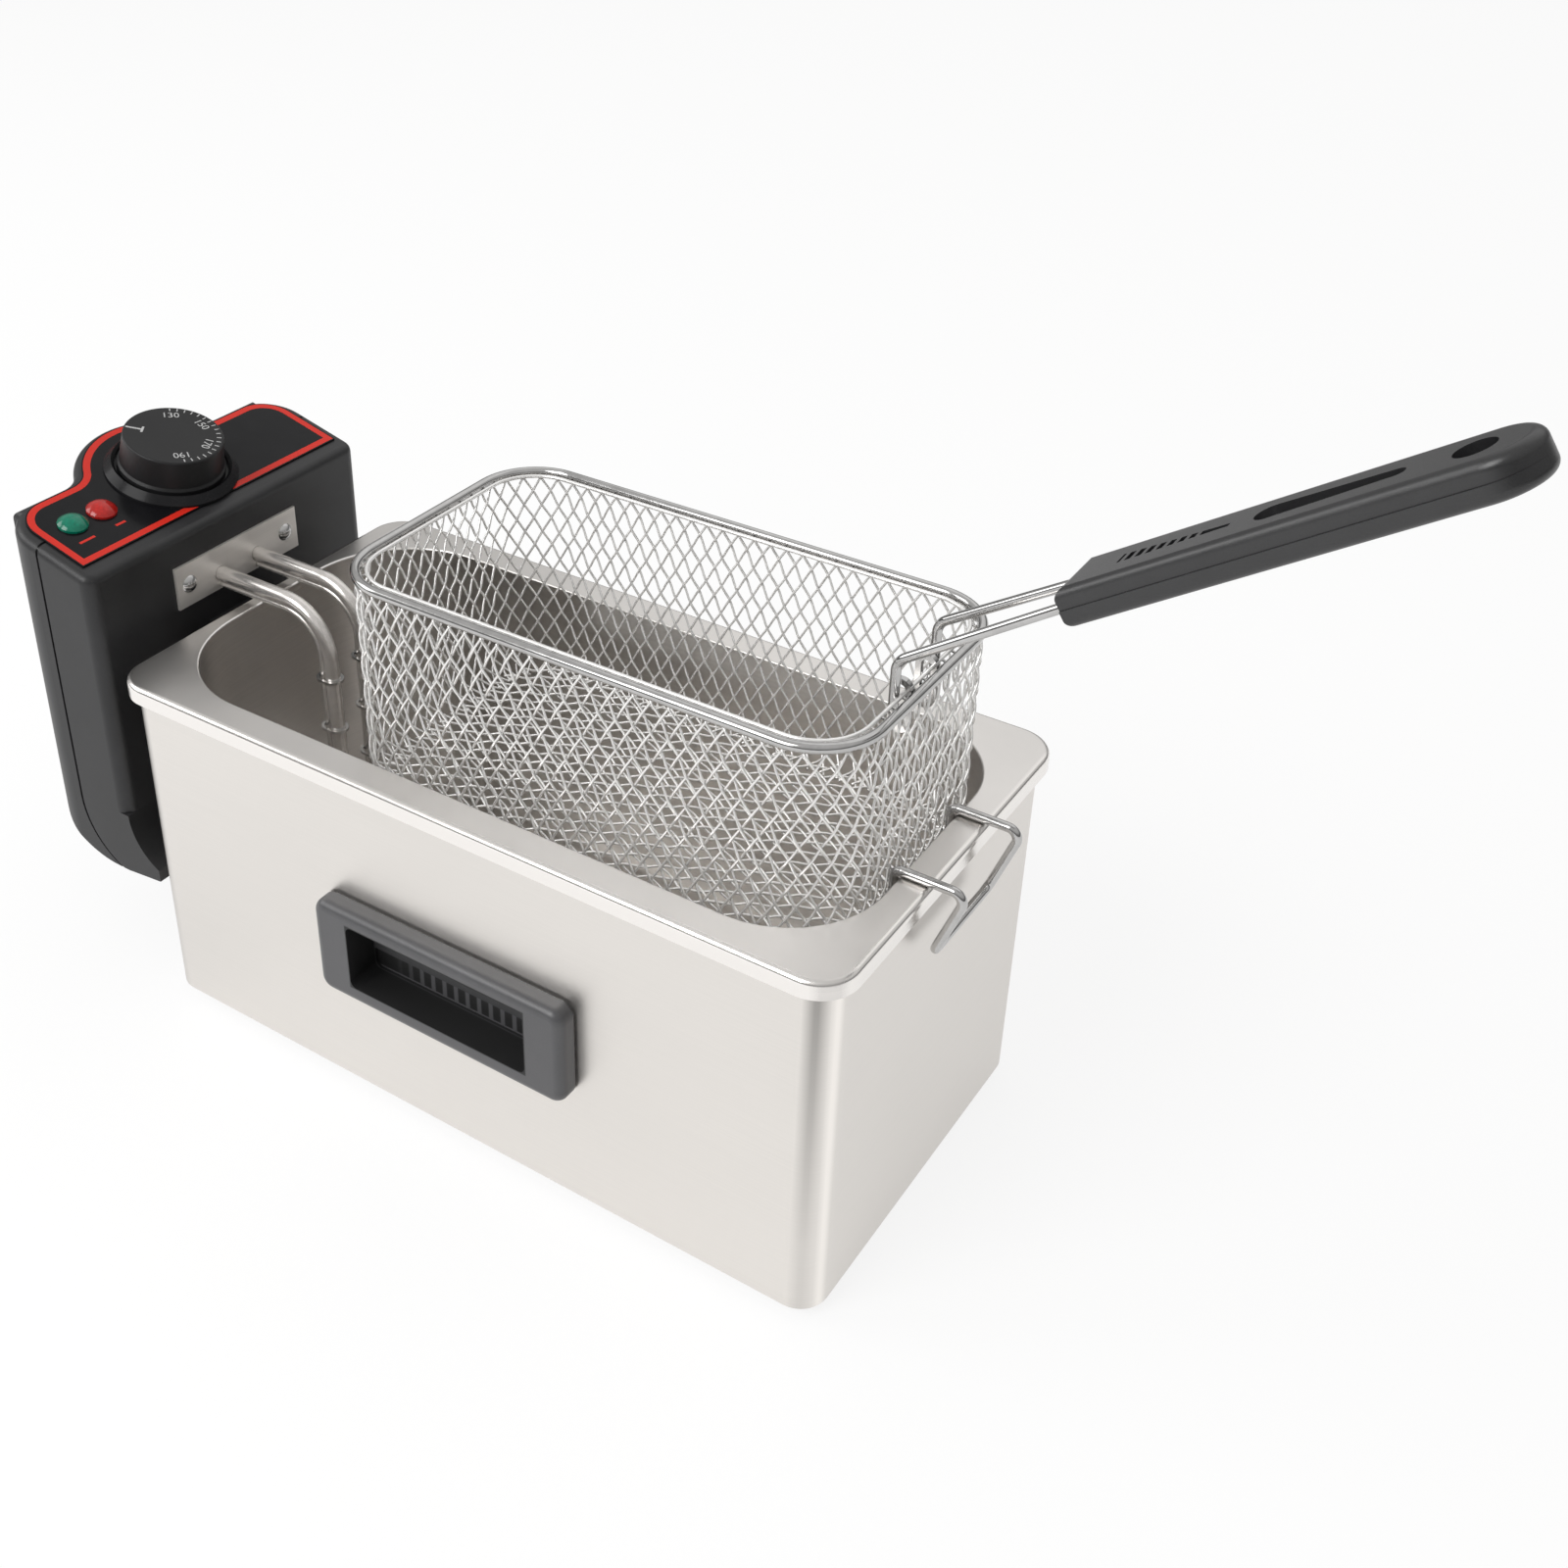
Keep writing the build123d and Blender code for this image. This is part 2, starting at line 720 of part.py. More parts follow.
# Panel plate on the sloping top, sharp at its front corners
panel_front = (knob_setback - panel_front_margin) / slope_cos
panel_back = (knob_setback - head_depth + panel_back_margin) / slope_cos
panel_half = head_width / 2 - panel_side_margin
panel_bulge = bulge_radius - panel_bulge_margin
with BuildPart() as panel_plate:
    with BuildSketch(PANEL):
        with Locations(((panel_front + panel_back) / 2, 0)):
            Rectangle(panel_front - panel_back, 2 * panel_half)
        fillet(vertices().group_by(Axis.X)[0], panel_corner)
        Circle(panel_bulge)
        joins = vertices().filter_by(lambda v: abs(v.X - panel_back) < 0.5 and abs(v.Y) < panel_bulge)
        fillet(joins, panel_blend)
        with Locations((panel_front + panel_bulge / 2, 0)):
            Rectangle(panel_bulge, 2 * panel_half, mode=Mode.SUBTRACT)
        Circle(bushing_radius + bushing_fit, mode=Mode.SUBTRACT)
        with Locations(*lens_spots):
            Circle(lens_stem_radius + lens_stem_fit, mode=Mode.SUBTRACT)
    extrude(amount=panel_sheet)

# Raised bezel ring round the knob
bezel_low = panel_sheet
bezel_top = bezel_low + bezel_height
bezel_inner = bezel_radius - bezel_ring
with BuildPart() as knob_bezel:
    with BuildSketch(panel_spot(0, 0)):
        with BuildLine():
            Polyline(
                (bushing_radius + bushing_fit, bezel_low),
                (bezel_radius, bezel_low),
                (bezel_radius, bezel_low + bezel_edge),
                (bezel_inner + bezel_crown, bezel_top),
                (bezel_inner, bezel_top - bezel_edge),
                (bezel_inner, bezel_low + bezel_floor),
                (bushing_radius + bushing_fit, bezel_low + bezel_floor),
                close=True,
            )
        make_face()
    revolve(axis=panel_axis(0, 0))

# Thermostat knob on its shaft
knob_low = bezel_low + bezel_floor + knob_gap
knob_top = knob_low + knob_height
shaft_top = knob_top - knob_height / 4
with BuildPart() as thermostat_knob:
    with BuildSketch(panel_spot(0, 0)):
        with BuildLine():
            Polyline(
                (shaft_radius + shaft_fit, knob_low),
                (knob_skirt_radius, knob_low),
                (knob_skirt_radius, knob_low + knob_height / 8),
                (knob_radius + knob_edge_round, knob_low + knob_height / 5),
                (knob_radius, knob_top),
                (0, knob_top),
                (0, shaft_top + shaft_fit),
                (shaft_radius + shaft_fit, shaft_top + shaft_fit),
                close=True,
            )
        make_face()
        fillet(vertices().sort_by(Axis.Y)[-2:].sort_by(Axis.X)[-1], knob_edge_round)
    revolve(axis=panel_axis(0, 0))

with BuildPart() as thermostat_shaft:
    with BuildSketch(PANEL.offset(panel_inner - thermostat_depth / 2)):
        Circle(shaft_radius)
    extrude(amount=shaft_top - panel_inner + thermostat_depth / 2)

# Thermostat under the panel, with the bushing that the shaft turns in
with BuildPart() as thermostat_body:
    with BuildSketch(PANEL.offset(panel_inner)):
        RectangleRounded(thermostat_size, thermostat_size, head_wall)
    extrude(amount=-thermostat_depth)
    with BuildSketch(PANEL.offset(panel_inner)):
        Circle(bushing_radius)
    extrude(amount=bezel_low + bezel_floor - panel_inner)
    with BuildSketch(PANEL.offset(panel_inner - thermostat_depth / 2 - seat_gap)):
        Circle(shaft_radius + shaft_fit)
    extrude(amount=thermostat_depth + bezel_floor, mode=Mode.SUBTRACT)

# Pilot lenses and the lamps under them
lenses = {}
for lens_name, (u, v) in zip(("green_lens", "red_lens"), lens_spots):
    with BuildPart() as lens:
        with BuildSketch(panel_spot(u, v)):
            with BuildLine():
                dome_foot = (lens_radius, panel_sheet + lens_dome / 4)
                dome_crown = (0, panel_sheet + lens_dome)
                Polyline(
                    dome_crown,
                    (0, panel_sheet - lens_stem_length),
                    (lens_stem_radius, panel_sheet - lens_stem_length),
                    (lens_stem_radius, panel_sheet),
                    (lens_radius, panel_sheet),
                    dome_foot,
                )
                dome_rise = lens_dome * 3 / 4
                dome_sphere = (lens_radius**2 + dome_rise**2) / (2 * dome_rise)
                RadiusArc(dome_crown, dome_foot, dome_sphere)
            make_face()
        revolve(axis=panel_axis(u, v))
    lenses[lens_name] = lens

with BuildPart() as pilot_lamps:
    with BuildSketch(PANEL.offset(panel_sheet - lens_stem_length)):
        with Locations(*lens_spots):
            Circle(lamp_radius)
    extrude(amount=-lamp_length)

# Steel plate on the head's inner face, held by two domed rivets
with BuildPart() as element_plate:
    with BuildSketch(Plane.YZ.offset(head_face)):
        with Locations((0, plate_mid)):
            Rectangle(2 * plate_half_width, plate_top - plate_bottom)
        with Locations(*leg_spots):
            Circle(element_radius + element_fit, mode=Mode.SUBTRACT)
        with Locations(*probe_spots):
            Circle(probe_radius + element_fit, mode=Mode.SUBTRACT)
    extrude(amount=plate_sheet)

with BuildPart() as plate_rivets:
    for y, z in rivet_spots:
        rivet_seat = head_face + plate_sheet
        with BuildSketch(Plane(origin=(rivet_seat, y, z), x_dir=(0, 1, 0), z_dir=(0, 0, -1))):
            with BuildLine():
                Polyline((0, rivet_height), (0, 0), (rivet_radius, 0))
                rivet_sphere = (rivet_radius**2 + rivet_height**2) / (2 * rivet_height)
                RadiusArc((0, rivet_height), (rivet_radius, 0), rivet_sphere)
            make_face()
        revolve(axis=Axis((rivet_seat, y, z), (1, 0, 0)))

# Heating element: one tube, down both legs and round the pot floor
leg_line_x = pot_left + element_leg_inset - element_radius
element_floor = pot_floor + element_floor_gap
far_x = pot_right - element_far_inset
near_x = pot_left + element_near_inset - element_radius
turn = (element_outer_half - element_half_gap) / 2 - element_fit
tail_x = inner_face - element_tail
element_points = [
    (tail_x, -element_half_gap, element_height),
    (leg_line_x, -element_half_gap, element_height),
    (leg_line_x, -element_half_gap, element_floor),
    (far_x, -element_half_gap, element_floor),
    (far_x, -element_outer_half, element_floor),
    (near_x, -element_outer_half, element_floor),
    (near_x, element_outer_half, element_floor),
    (far_x, element_outer_half, element_floor),
    (far_x, element_half_gap, element_floor),
    (leg_line_x, element_half_gap, element_floor),
    (leg_line_x, element_half_gap, element_height),
    (tail_x, element_half_gap, element_height),
]
half_turns = [element_top_bend, element_low_bend, turn, turn, element_low_bend]
with BuildPart() as heating_element:
    with BuildLine() as element_path:
        FilletPolyline(*element_points, radius=half_turns + half_turns[::-1])
    with BuildSketch(Plane.YZ.offset(tail_x)):
        with Locations(leg_spots[0]):
            Circle(element_radius)
    sweep(path=element_path.line)

with BuildPart() as element_terminals:
    with BuildSketch(Plane.YZ.offset(tail_x)):
        with Locations(*leg_spots):
            Circle(terminal_radius)
    extrude(amount=-terminal_length)

# Sensing probes: thin rods inside the bend of each leg
probes = {}
for probe_name, side in (("thermostat_probe", -1), ("cutout_probe", 1)):
    with BuildPart() as probe:
        probe_y = side * element_half_gap
        probe_z = element_height - probe_offset
        probe_x = leg_line_x - probe_offset
        with BuildLine() as probe_path:
            FilletPolyline(
                (tail_x, probe_y, probe_z),
                (probe_x, probe_y, probe_z),
                (probe_x, probe_y, probe_z - probe_length),
                radius=element_top_bend - probe_offset,
            )
        with BuildSketch(Plane.YZ.offset(tail_x)):
            with Locations((probe_y, probe_z)):
                Circle(probe_radius)
        sweep(path=probe_path.line)
    probes[probe_name] = probe

# Wire clips that tie each probe to its leg
clip_inner = element_radius + clip_gap
clip_line = clip_inner + clip_wire
clip_span = probe_offset + probe_radius + clip_gap - clip_inner
leg_fall = element_height - element_top_bend - element_floor - element_low_bend
with BuildPart() as probe_clips:
    for side in (-1, 1):
        for place in range(clip_count):
            clip_z = element_height - element_top_bend - (place + clip_first) * leg_fall / (clip_count + 1)
            clip_mid = leg_line_x - clip_span / 2
            with BuildSketch(Plane.XY.offset(clip_z - clip_wire)):
                with Locations((clip_mid, side * element_half_gap)):
                    SlotCenterToCenter(clip_span, 2 * (clip_line + clip_wire))
                    SlotCenterToCenter(clip_span, 2 * clip_inner, mode=Mode.SUBTRACT)
            extrude(amount=2 * clip_wire)

# Terminal block and interlock switch on the front shell's inner wall
with BuildPart() as terminal_block:
    with BuildSketch(Plane.YZ.offset(inner_face)):
        with Locations((0, block_height)):
            Rectangle(2 * block_size, block_size)
    extrude(amount=-block_depth)
    with BuildSketch(Plane.YZ.offset(inner_face - block_depth)):
        with Locations((0, block_height)):
            with GridLocations(block_size / 2, block_size / 2, 3, 2):
                Circle(screw_radius)
    extrude(amount=block_depth / 2, mode=Mode.SUBTRACT)

with BuildPart() as interlock_switch:
    with BuildSketch(Plane.YZ.offset(inner_face)):
        with Locations((switch_y, switch_z)):
            Rectangle(switch_height, switch_length)
    extrude(amount=-switch_depth)
    with BuildSketch(Plane.YZ.offset(inner_face)):
        with Locations((switch_y, switch_z)):
            Circle(plunger_radius)
    extrude(amount=rail_front - rail_sheet - plunger_gap - inner_face)

# Thermal cut-out behind the rear cover, its reset button, and the cord gland
cut_face = head_back + head_wall
with BuildPart() as thermal_cutout:
    with BuildSketch(Plane.YZ.offset(cut_face)):
        with Locations((reset_y, reset_z)):
            Circle(cutout_radius)
    extrude(amount=cutout_depth)
    with BuildSketch(Plane.YZ.offset(cut_face)):
        with Locations((reset_y, reset_z)):
            Circle(reset_radius + reset_fit)
    extrude(amount=reset_depth + reset_proud + seat_gap, mode=Mode.SUBTRACT)

with BuildPart() as reset_button:
    with BuildSketch(Plane.YZ.offset(head_back - reset_proud)):
        with Locations((reset_y, reset_z)):
            Circle(reset_radius)
    extrude(amount=reset_proud + head_wall + reset_depth)
    fillet(edges().group_by(Axis.X)[0], reset_proud / 4)

with BuildPart() as cord_gland:
    with BuildSketch(Plane.YZ.offset(head_back - gland_flange)):
        with Locations((gland_y, gland_z)):
            Circle(gland_flange_radius)
    extrude(amount=gland_flange)
    fillet(edges().group_by(Axis.X)[0], gland_flange / 3)
    with BuildSketch(Plane.YZ.offset(head_back)):
        with Locations((gland_y, gland_z)):
            Circle(gland_radius)
    extrude(amount=gland_length - gland_flange)
    with BuildSketch(Plane.YZ.offset(head_back - gland_flange)):
        with Locations((gland_y, gland_z)):
            Circle(gland_bore)
    extrude(amount=gland_length, mode=Mode.SUBTRACT)

# Basket rim wire: half a loop, mirrored to the other long side
basket_start = basket_end - basket_length
with BuildPart() as basket_rim_wire:
    with BuildLine() as rim_path:
        FilletPolyline(
            (basket_start, 0, basket_rim_height),
            (basket_start, -basket_width / 2, basket_rim_height),
            (basket_end, -basket_width / 2, basket_rim_height),
            (basket_end, 0, basket_rim_height),
            radius=basket_corner,
        )
    with BuildSketch(Plane.XZ):
        with Locations((basket_start, basket_rim_height)):
            Circle(rim_wire_radius)
    sweep(path=rim_path.line)
    mirror(about=Plane.XZ)


def diamond(width, height, mode=Mode.SUBTRACT):
    """Diamond gap left between strands in one cell of the net."""
    reach = width * height / 2 / math.hypot(width, height)
    share = 1 - net_strand / 2 / reach
    half_w = share * width / 2
    half_h = share * height / 2
    Polygon((half_w, 0), (0, half_h), (-half_w, 0), (0, -half_h), mode=mode)


def wall_net(length, height):
    """Flat net with a plain border and two staggered sets of diamond gaps."""
    Rectangle(length, height)
    columns = round((length - 2 * net_border) / net_cell_width)
    rows = round((height - 2 * net_border) / net_cell_height)
    step_x = (length - 2 * net_border) / columns
    step_y = (height - 2 * net_border) / rows
    with GridLocations(step_x, step_y, columns, rows):
        diamond(step_x, step_y)
    with GridLocations(step_x, step_y, columns - 1, rows - 1):
        diamond(step_x, step_y)


# Basket walls: four flat nets between the round corners
net_height = net_top - basket_floor
net_mid_z = (net_top + basket_floor) / 2
net_planes = {
    "basket_front_net": Plane(origin=(basket_mid, -basket_width / 2, net_mid_z), z_dir=(0, -1, 0), x_dir=(1, 0, 0)),
    "basket_rear_net": Plane(origin=(basket_mid, basket_width / 2, net_mid_z), z_dir=(0, 1, 0), x_dir=(-1, 0, 0)),
    "basket_head_end_net": Plane(origin=(basket_start, 0, net_mid_z), z_dir=(-1, 0, 0), x_dir=(0, -1, 0)),
    "basket_handle_end_net": Plane(origin=(basket_end, 0, net_mid_z), z_dir=(1, 0, 0), x_dir=(0, 1, 0)),
}
wall_nets = {}
for net_name, net_plane in net_planes.items():
    span = basket_length if net_plane.z_dir.X == 0 else basket_width
    with BuildPart() as net:
        with BuildSketch(net_plane):
            wall_net(span - 2 * basket_corner, net_height)
        extrude(amount=net_sheet / 2, both=True)
    wall_nets[net_name] = net

# Round corners of the basket
with BuildPart() as basket_corner_nets:
    with BuildSketch(Plane.XY.offset(basket_floor)):
        with Locations((basket_mid, 0)):
            RectangleRounded(
                basket_length + net_sheet, basket_width + net_sheet, basket_corner + net_sheet / 2
            )
            RectangleRounded(
                basket_length - net_sheet,
                basket_width - net_sheet,
                basket_corner - net_sheet / 2,
                mode=Mode.SUBTRACT,
            )
            Rectangle(basket_length - 2 * basket_corner, 2 * basket_width, mode=Mode.SUBTRACT)
            Rectangle(2 * basket_length, basket_width - 2 * basket_corner, mode=Mode.SUBTRACT)
    extrude(amount=net_height)
    corner_x = basket_length / 2 - basket_corner
    corner_y = basket_width / 2 - basket_corner
    corner_columns = round(basket_corner * math.pi / 2 / net_cell_width)
    corner_rows = round((net_height - 2 * net_border) / net_cell_height)
    corner_step = (net_height - 2 * net_border) / corner_rows
    corner_turn = 90 / corner_columns
    corner_width = math.radians(corner_turn) * basket_corner
    for quarter in range(4):
        hub_x = basket_mid + corner_x * (1 if quarter in (0, 3) else -1)
        hub_y = corner_y * (1 if quarter in (0, 1) else -1)
        for column in range(corner_columns):
            angle = math.radians(90 * quarter + (column + 0.5) * corner_turn)
            radial = (math.cos(angle), math.sin(angle), 0)
            tangent = (-math.sin(angle), math.cos(angle), 0)
            window_plane = Plane(origin=(hub_x, hub_y, net_mid_z), x_dir=tangent, z_dir=radial)
            with BuildSketch(window_plane.offset(basket_corner - net_sheet)):
                with GridLocations(corner_width, corner_step, 1, corner_rows):
                    diamond(corner_width, corner_step, Mode.ADD)
            extrude(amount=2 * net_sheet, mode=Mode.SUBTRACT)

# Basket floor net
floor_columns = round((basket_length - 2 * net_border) / floor_cell_width)
floor_rows = round((basket_width - 2 * net_border) / floor_cell_height)
floor_step_x = (basket_length - 2 * net_border) / floor_columns
floor_step_y = (basket_width - 2 * net_border) / floor_rows


def inside_floor(x, y):
    """Whether a whole diamond at x, y lies inside the rounded floor."""
    reach_x = max(abs(x) + floor_step_x / 2 - (basket_length / 2 - basket_corner), 0)
    reach_y = max(abs(y) + floor_step_y / 2 - (basket_width / 2 - basket_corner), 0)
    return math.hypot(reach_x, reach_y) < basket_corner - net_border / 2


floor_spots = []
for stagger in (0, 1):
    for column in range(floor_columns - stagger):
        for row in range(floor_rows - stagger):
            spot_x = (column - (floor_columns - stagger - 1) / 2) * floor_step_x
            spot_y = (row - (floor_rows - stagger - 1) / 2) * floor_step_y
            if inside_floor(spot_x, spot_y):
                floor_spots.append((basket_mid + spot_x, spot_y))

with BuildPart() as basket_floor_net:
    with BuildSketch(Plane.XY.offset(basket_floor - net_sheet)):
        with Locations((basket_mid, 0)):
            RectangleRounded(
                basket_length + net_sheet, basket_width + net_sheet, basket_corner + net_sheet / 2
            )
        with Locations(*floor_spots):
            diamond(floor_step_x, floor_step_y)
    extrude(amount=net_sheet)

# Hook on the basket's end wall: hangs over the pot rim
hook_x = basket_end + net_sheet / 2 + weld_gap + hook_wire
hook_z = rim_top + hook_rest_gap + hook_wire
hook_bar_x = half_length + lip_overhang + lip_clearance + hook_wire
hook_out_x = half_length + hook_reach
hook_foot_z = basket_floor + hook_wire
hook_points = [
    (hook_x, -hook_half_gap, hook_foot_z),
    (hook_x, -hook_half_gap, hook_z),
    (hook_out_x, -hook_half_gap, hook_z),
    (hook_bar_x, -hook_half_gap, hook_z - hook_drop),
    (hook_bar_x, hook_half_gap, hook_z - hook_drop),
    (hook_out_x, hook_half_gap, hook_z),
    (hook_x, hook_half_gap, hook_z),
    (hook_x, hook_half_gap, hook_foot_z),
]
hook_turns = [hook_bend, hook_bar_bend, hook_bar_bend]
with BuildPart() as basket_hook:
    with BuildLine() as hook_path:
        FilletPolyline(*hook_points, radius=hook_turns + hook_turns[::-1])
    with BuildSketch(Plane.XY.offset(hook_foot_z)):
        with Locations((hook_x, -hook_half_gap)):
            Circle(hook_wire)
    sweep(path=hook_path.line)

# Oval wire links on the inside of the end wall, which hold the handle's pins
link_gap = leg_wire + bracket_fit
link_top = basket_rim_height + rim_wire_radius + bracket_over_rim
link_low = pivot_z - leg_wire - bracket_under_pin
with BuildPart() as handle_brackets:
    for side in (-1, 1):
        link_plane = Plane(origin=(leg_x, side * bracket_y, 0), x_dir=(1, 0, 0), z_dir=(0, -1, 0))
        link_length = link_top - link_low
        with BuildSketch(link_plane):
            with Locations((0, (link_top + link_low) / 2)):
                SlotOverall(link_length, 2 * (link_gap + 2 * bracket_wire), rotation=90)
                SlotOverall(link_length - 4 * bracket_wire, 2 * link_gap, rotation=90, mode=Mode.SUBTRACT)
        extrude(amount=bracket_wire, both=True)

# Handle wire: pins, legs up inside the wall, out to the grip and round inside it
grip_gap_x, _, grip_gap_z = tuple(GRIP.from_local_coords((grip_start, 0, 0)))
loop_x, _, loop_z = tuple(GRIP.from_local_coords((grip_start + wire_in_grip, 0, 0)))
wire_points = [
    (leg_x, -leg_pin_end, pivot_z),
    (leg_x, -leg_half_gap, pivot_z),
    (leg_x, -leg_half_gap, bend_z),
    (grip_gap_x, -leg_grip_half_gap, grip_gap_z),
    (loop_x, -leg_grip_half_gap, loop_z),
    (loop_x, leg_grip_half_gap, loop_z),
    (grip_gap_x, leg_grip_half_gap, grip_gap_z),
    (leg_x, leg_half_gap, bend_z),
    (leg_x, leg_half_gap, pivot_z),
    (leg_x, leg_pin_end, pivot_z),
]
wire_turns = [leg_pin_bend, leg_bend, leg_grip_bend, leg_loop_bend]


def handle_tube(radius):
    """Tube of the given radius along the handle wire."""
    with BuildPart() as tube:
        with BuildLine() as wire_path:
            FilletPolyline(*wire_points, radius=wire_turns + wire_turns[::-1])
        with BuildSketch(Plane.XZ.offset(leg_pin_end)):
            with Locations((leg_x, pivot_z)):
                Circle(radius)
        sweep(path=wire_path.line)
    return tube


handle_wire = handle_tube(leg_wire)
wire_channel = handle_tube(leg_wire + grip_wire_fit)


def grip_outline(width):
    """Grip plan: square at the legs, half round at its far end."""
    with Locations(((grip_start + grip_end - width / 2) / 2, 0)):
        Rectangle(grip_length - width / 2, width)
    with Locations((grip_end - width / 2, 0)):
        Circle(width / 2)


hang_hole = (grip_end - hang_hole_inset, 0)
screw_spots = [(grip_start + place, 0) for place in grip_screw_places]

# Upper grip half: ribbed slot, thumb slot and hanging hole
with BuildPart() as grip_upper:
    with BuildSketch(GRIP):
        grip_outline(grip_width - 2 * grip_side_step)
    extrude(amount=grip_half_height)
    fillet(faces().sort_by(Axis(GRIP.origin, GRIP.z_dir))[-1].edges(), grip_round)
    with BuildSketch(GRIP):
        with Locations(hang_hole):
            Circle(hang_hole_radius)
    extrude(amount=grip_half_height, mode=Mode.SUBTRACT)
    with BuildSketch(GRIP.offset(grip_half_height - thumb_slot_depth)):
        slot_a = grip_start + thumb_slot_start
        slot_b = slot_a + thumb_slot_length
        with Locations((slot_a, 0)):
            Circle(thumb_slot_wide)
        with Locations((slot_b, 0)):
            Circle(thumb_slot_narrow)
        make_hull()
    extrude(amount=thumb_slot_depth, mode=Mode.SUBTRACT)
    with BuildSketch(GRIP.offset(grip_half_height - rib_slot_depth)):
        ribs_a = grip_start + rib_slot_start
        Polygon(
            (ribs_a, -rib_slot_half),
            (ribs_a + rib_slot_length, -rib_slot_half / 3),
            (ribs_a + rib_slot_length, rib_slot_half / 3),
            (ribs_a, rib_slot_half),
            align=None,
        )
        with Locations((ribs_a + grip_rib_pitch * grip_rib_count / 2, 0)):
            with GridLocations(grip_rib_pitch, 0, grip_rib_count, 1):
                Rectangle(grip_rib_width, 3 * rib_slot_half, mode=Mode.SUBTRACT)
    extrude(amount=rib_slot_depth, mode=Mode.SUBTRACT)
    with BuildSketch(GRIP):
        with Locations(*screw_spots):
            Circle(screw_radius + screw_fit)
    extrude(amount=grip_half_height / 2, mode=Mode.SUBTRACT)
    add(wire_channel.part, mode=Mode.SUBTRACT)

# Lower grip half, a little wider, with screw seats below
with BuildPart() as grip_lower:
    with BuildSketch(GRIP):
        grip_outline(grip_width)
    extrude(amount=-grip_half_height)
    fillet(faces().sort_by(Axis(GRIP.origin, GRIP.z_dir))[0].edges(), grip_round)
    with BuildSketch(GRIP):
        with Locations(hang_hole):
            Circle(hang_hole_radius)
        with Locations(*screw_spots):
            Circle(screw_radius + screw_fit)
    extrude(amount=-grip_half_height, mode=Mode.SUBTRACT)
    with BuildSketch(GRIP.offset(-grip_half_height)):
        with Locations(*screw_spots):
            Circle(screw_head_radius + screw_fit)
    extrude(amount=screw_head_height, mode=Mode.SUBTRACT)
    add(wire_channel.part, mode=Mode.SUBTRACT)

# Screws that join the grip halves
with BuildPart() as grip_screws:
    with BuildSketch(GRIP.offset(-grip_half_height)):
        with Locations(*screw_spots):
            Circle(screw_head_radius)
    extrude(amount=screw_head_height)
    with BuildSketch(GRIP.offset(screw_head_height - grip_half_height)):
        with Locations(*screw_spots):
            Circle(screw_radius)
    extrude(amount=1.5 * grip_half_height - screw_head_height - seat_gap)

pieces = {
    "outer_housing": outer_housing,
    "base_plate": base_plate,
    "base_screws": base_screws,
    "feet": feet,
    **side_handles,
    "side_handle_screws": side_handle_screws,
    "head_rail": head_rail,
    "oil_pot": oil_pot,
    "head_front_shell": head_front_shell,
    "head_rear_cover": head_rear_cover,
    "cover_screws": cover_screws,
    "panel_plate": panel_plate,
    "knob_bezel": knob_bezel,
    "thermostat_knob": thermostat_knob,
    "thermostat_shaft": thermostat_shaft,
    "thermostat_body": thermostat_body,
    **lenses,
    "pilot_lamps": pilot_lamps,
    "element_plate": element_plate,
    "plate_rivets": plate_rivets,
    "heating_element": heating_element,
    "element_terminals": element_terminals,
    **probes,
    "probe_clips": probe_clips,
    "terminal_block": terminal_block,
    "interlock_switch": interlock_switch,
    "thermal_cutout": thermal_cutout,
    "reset_button": reset_button,
    "cord_gland": cord_gland,
    "basket_rim_wire": basket_rim_wire,
    **wall_nets,
    "basket_corner_nets": basket_corner_nets,
    "basket_floor_net": basket_floor_net,
    "basket_hook": basket_hook,
    "handle_brackets": handle_brackets,
    "handle_wire": handle_wire,
    "grip_upper": grip_upper,
    "grip_lower": grip_lower,
    "grip_screws": grip_screws,
}
for name, piece in pieces.items():
    piece.part.label = name
    export_step(piece.part, f"parts/{name}.step")
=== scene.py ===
"""Looks of the table-top deep fryer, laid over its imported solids. Metres, +Z up."""
import math

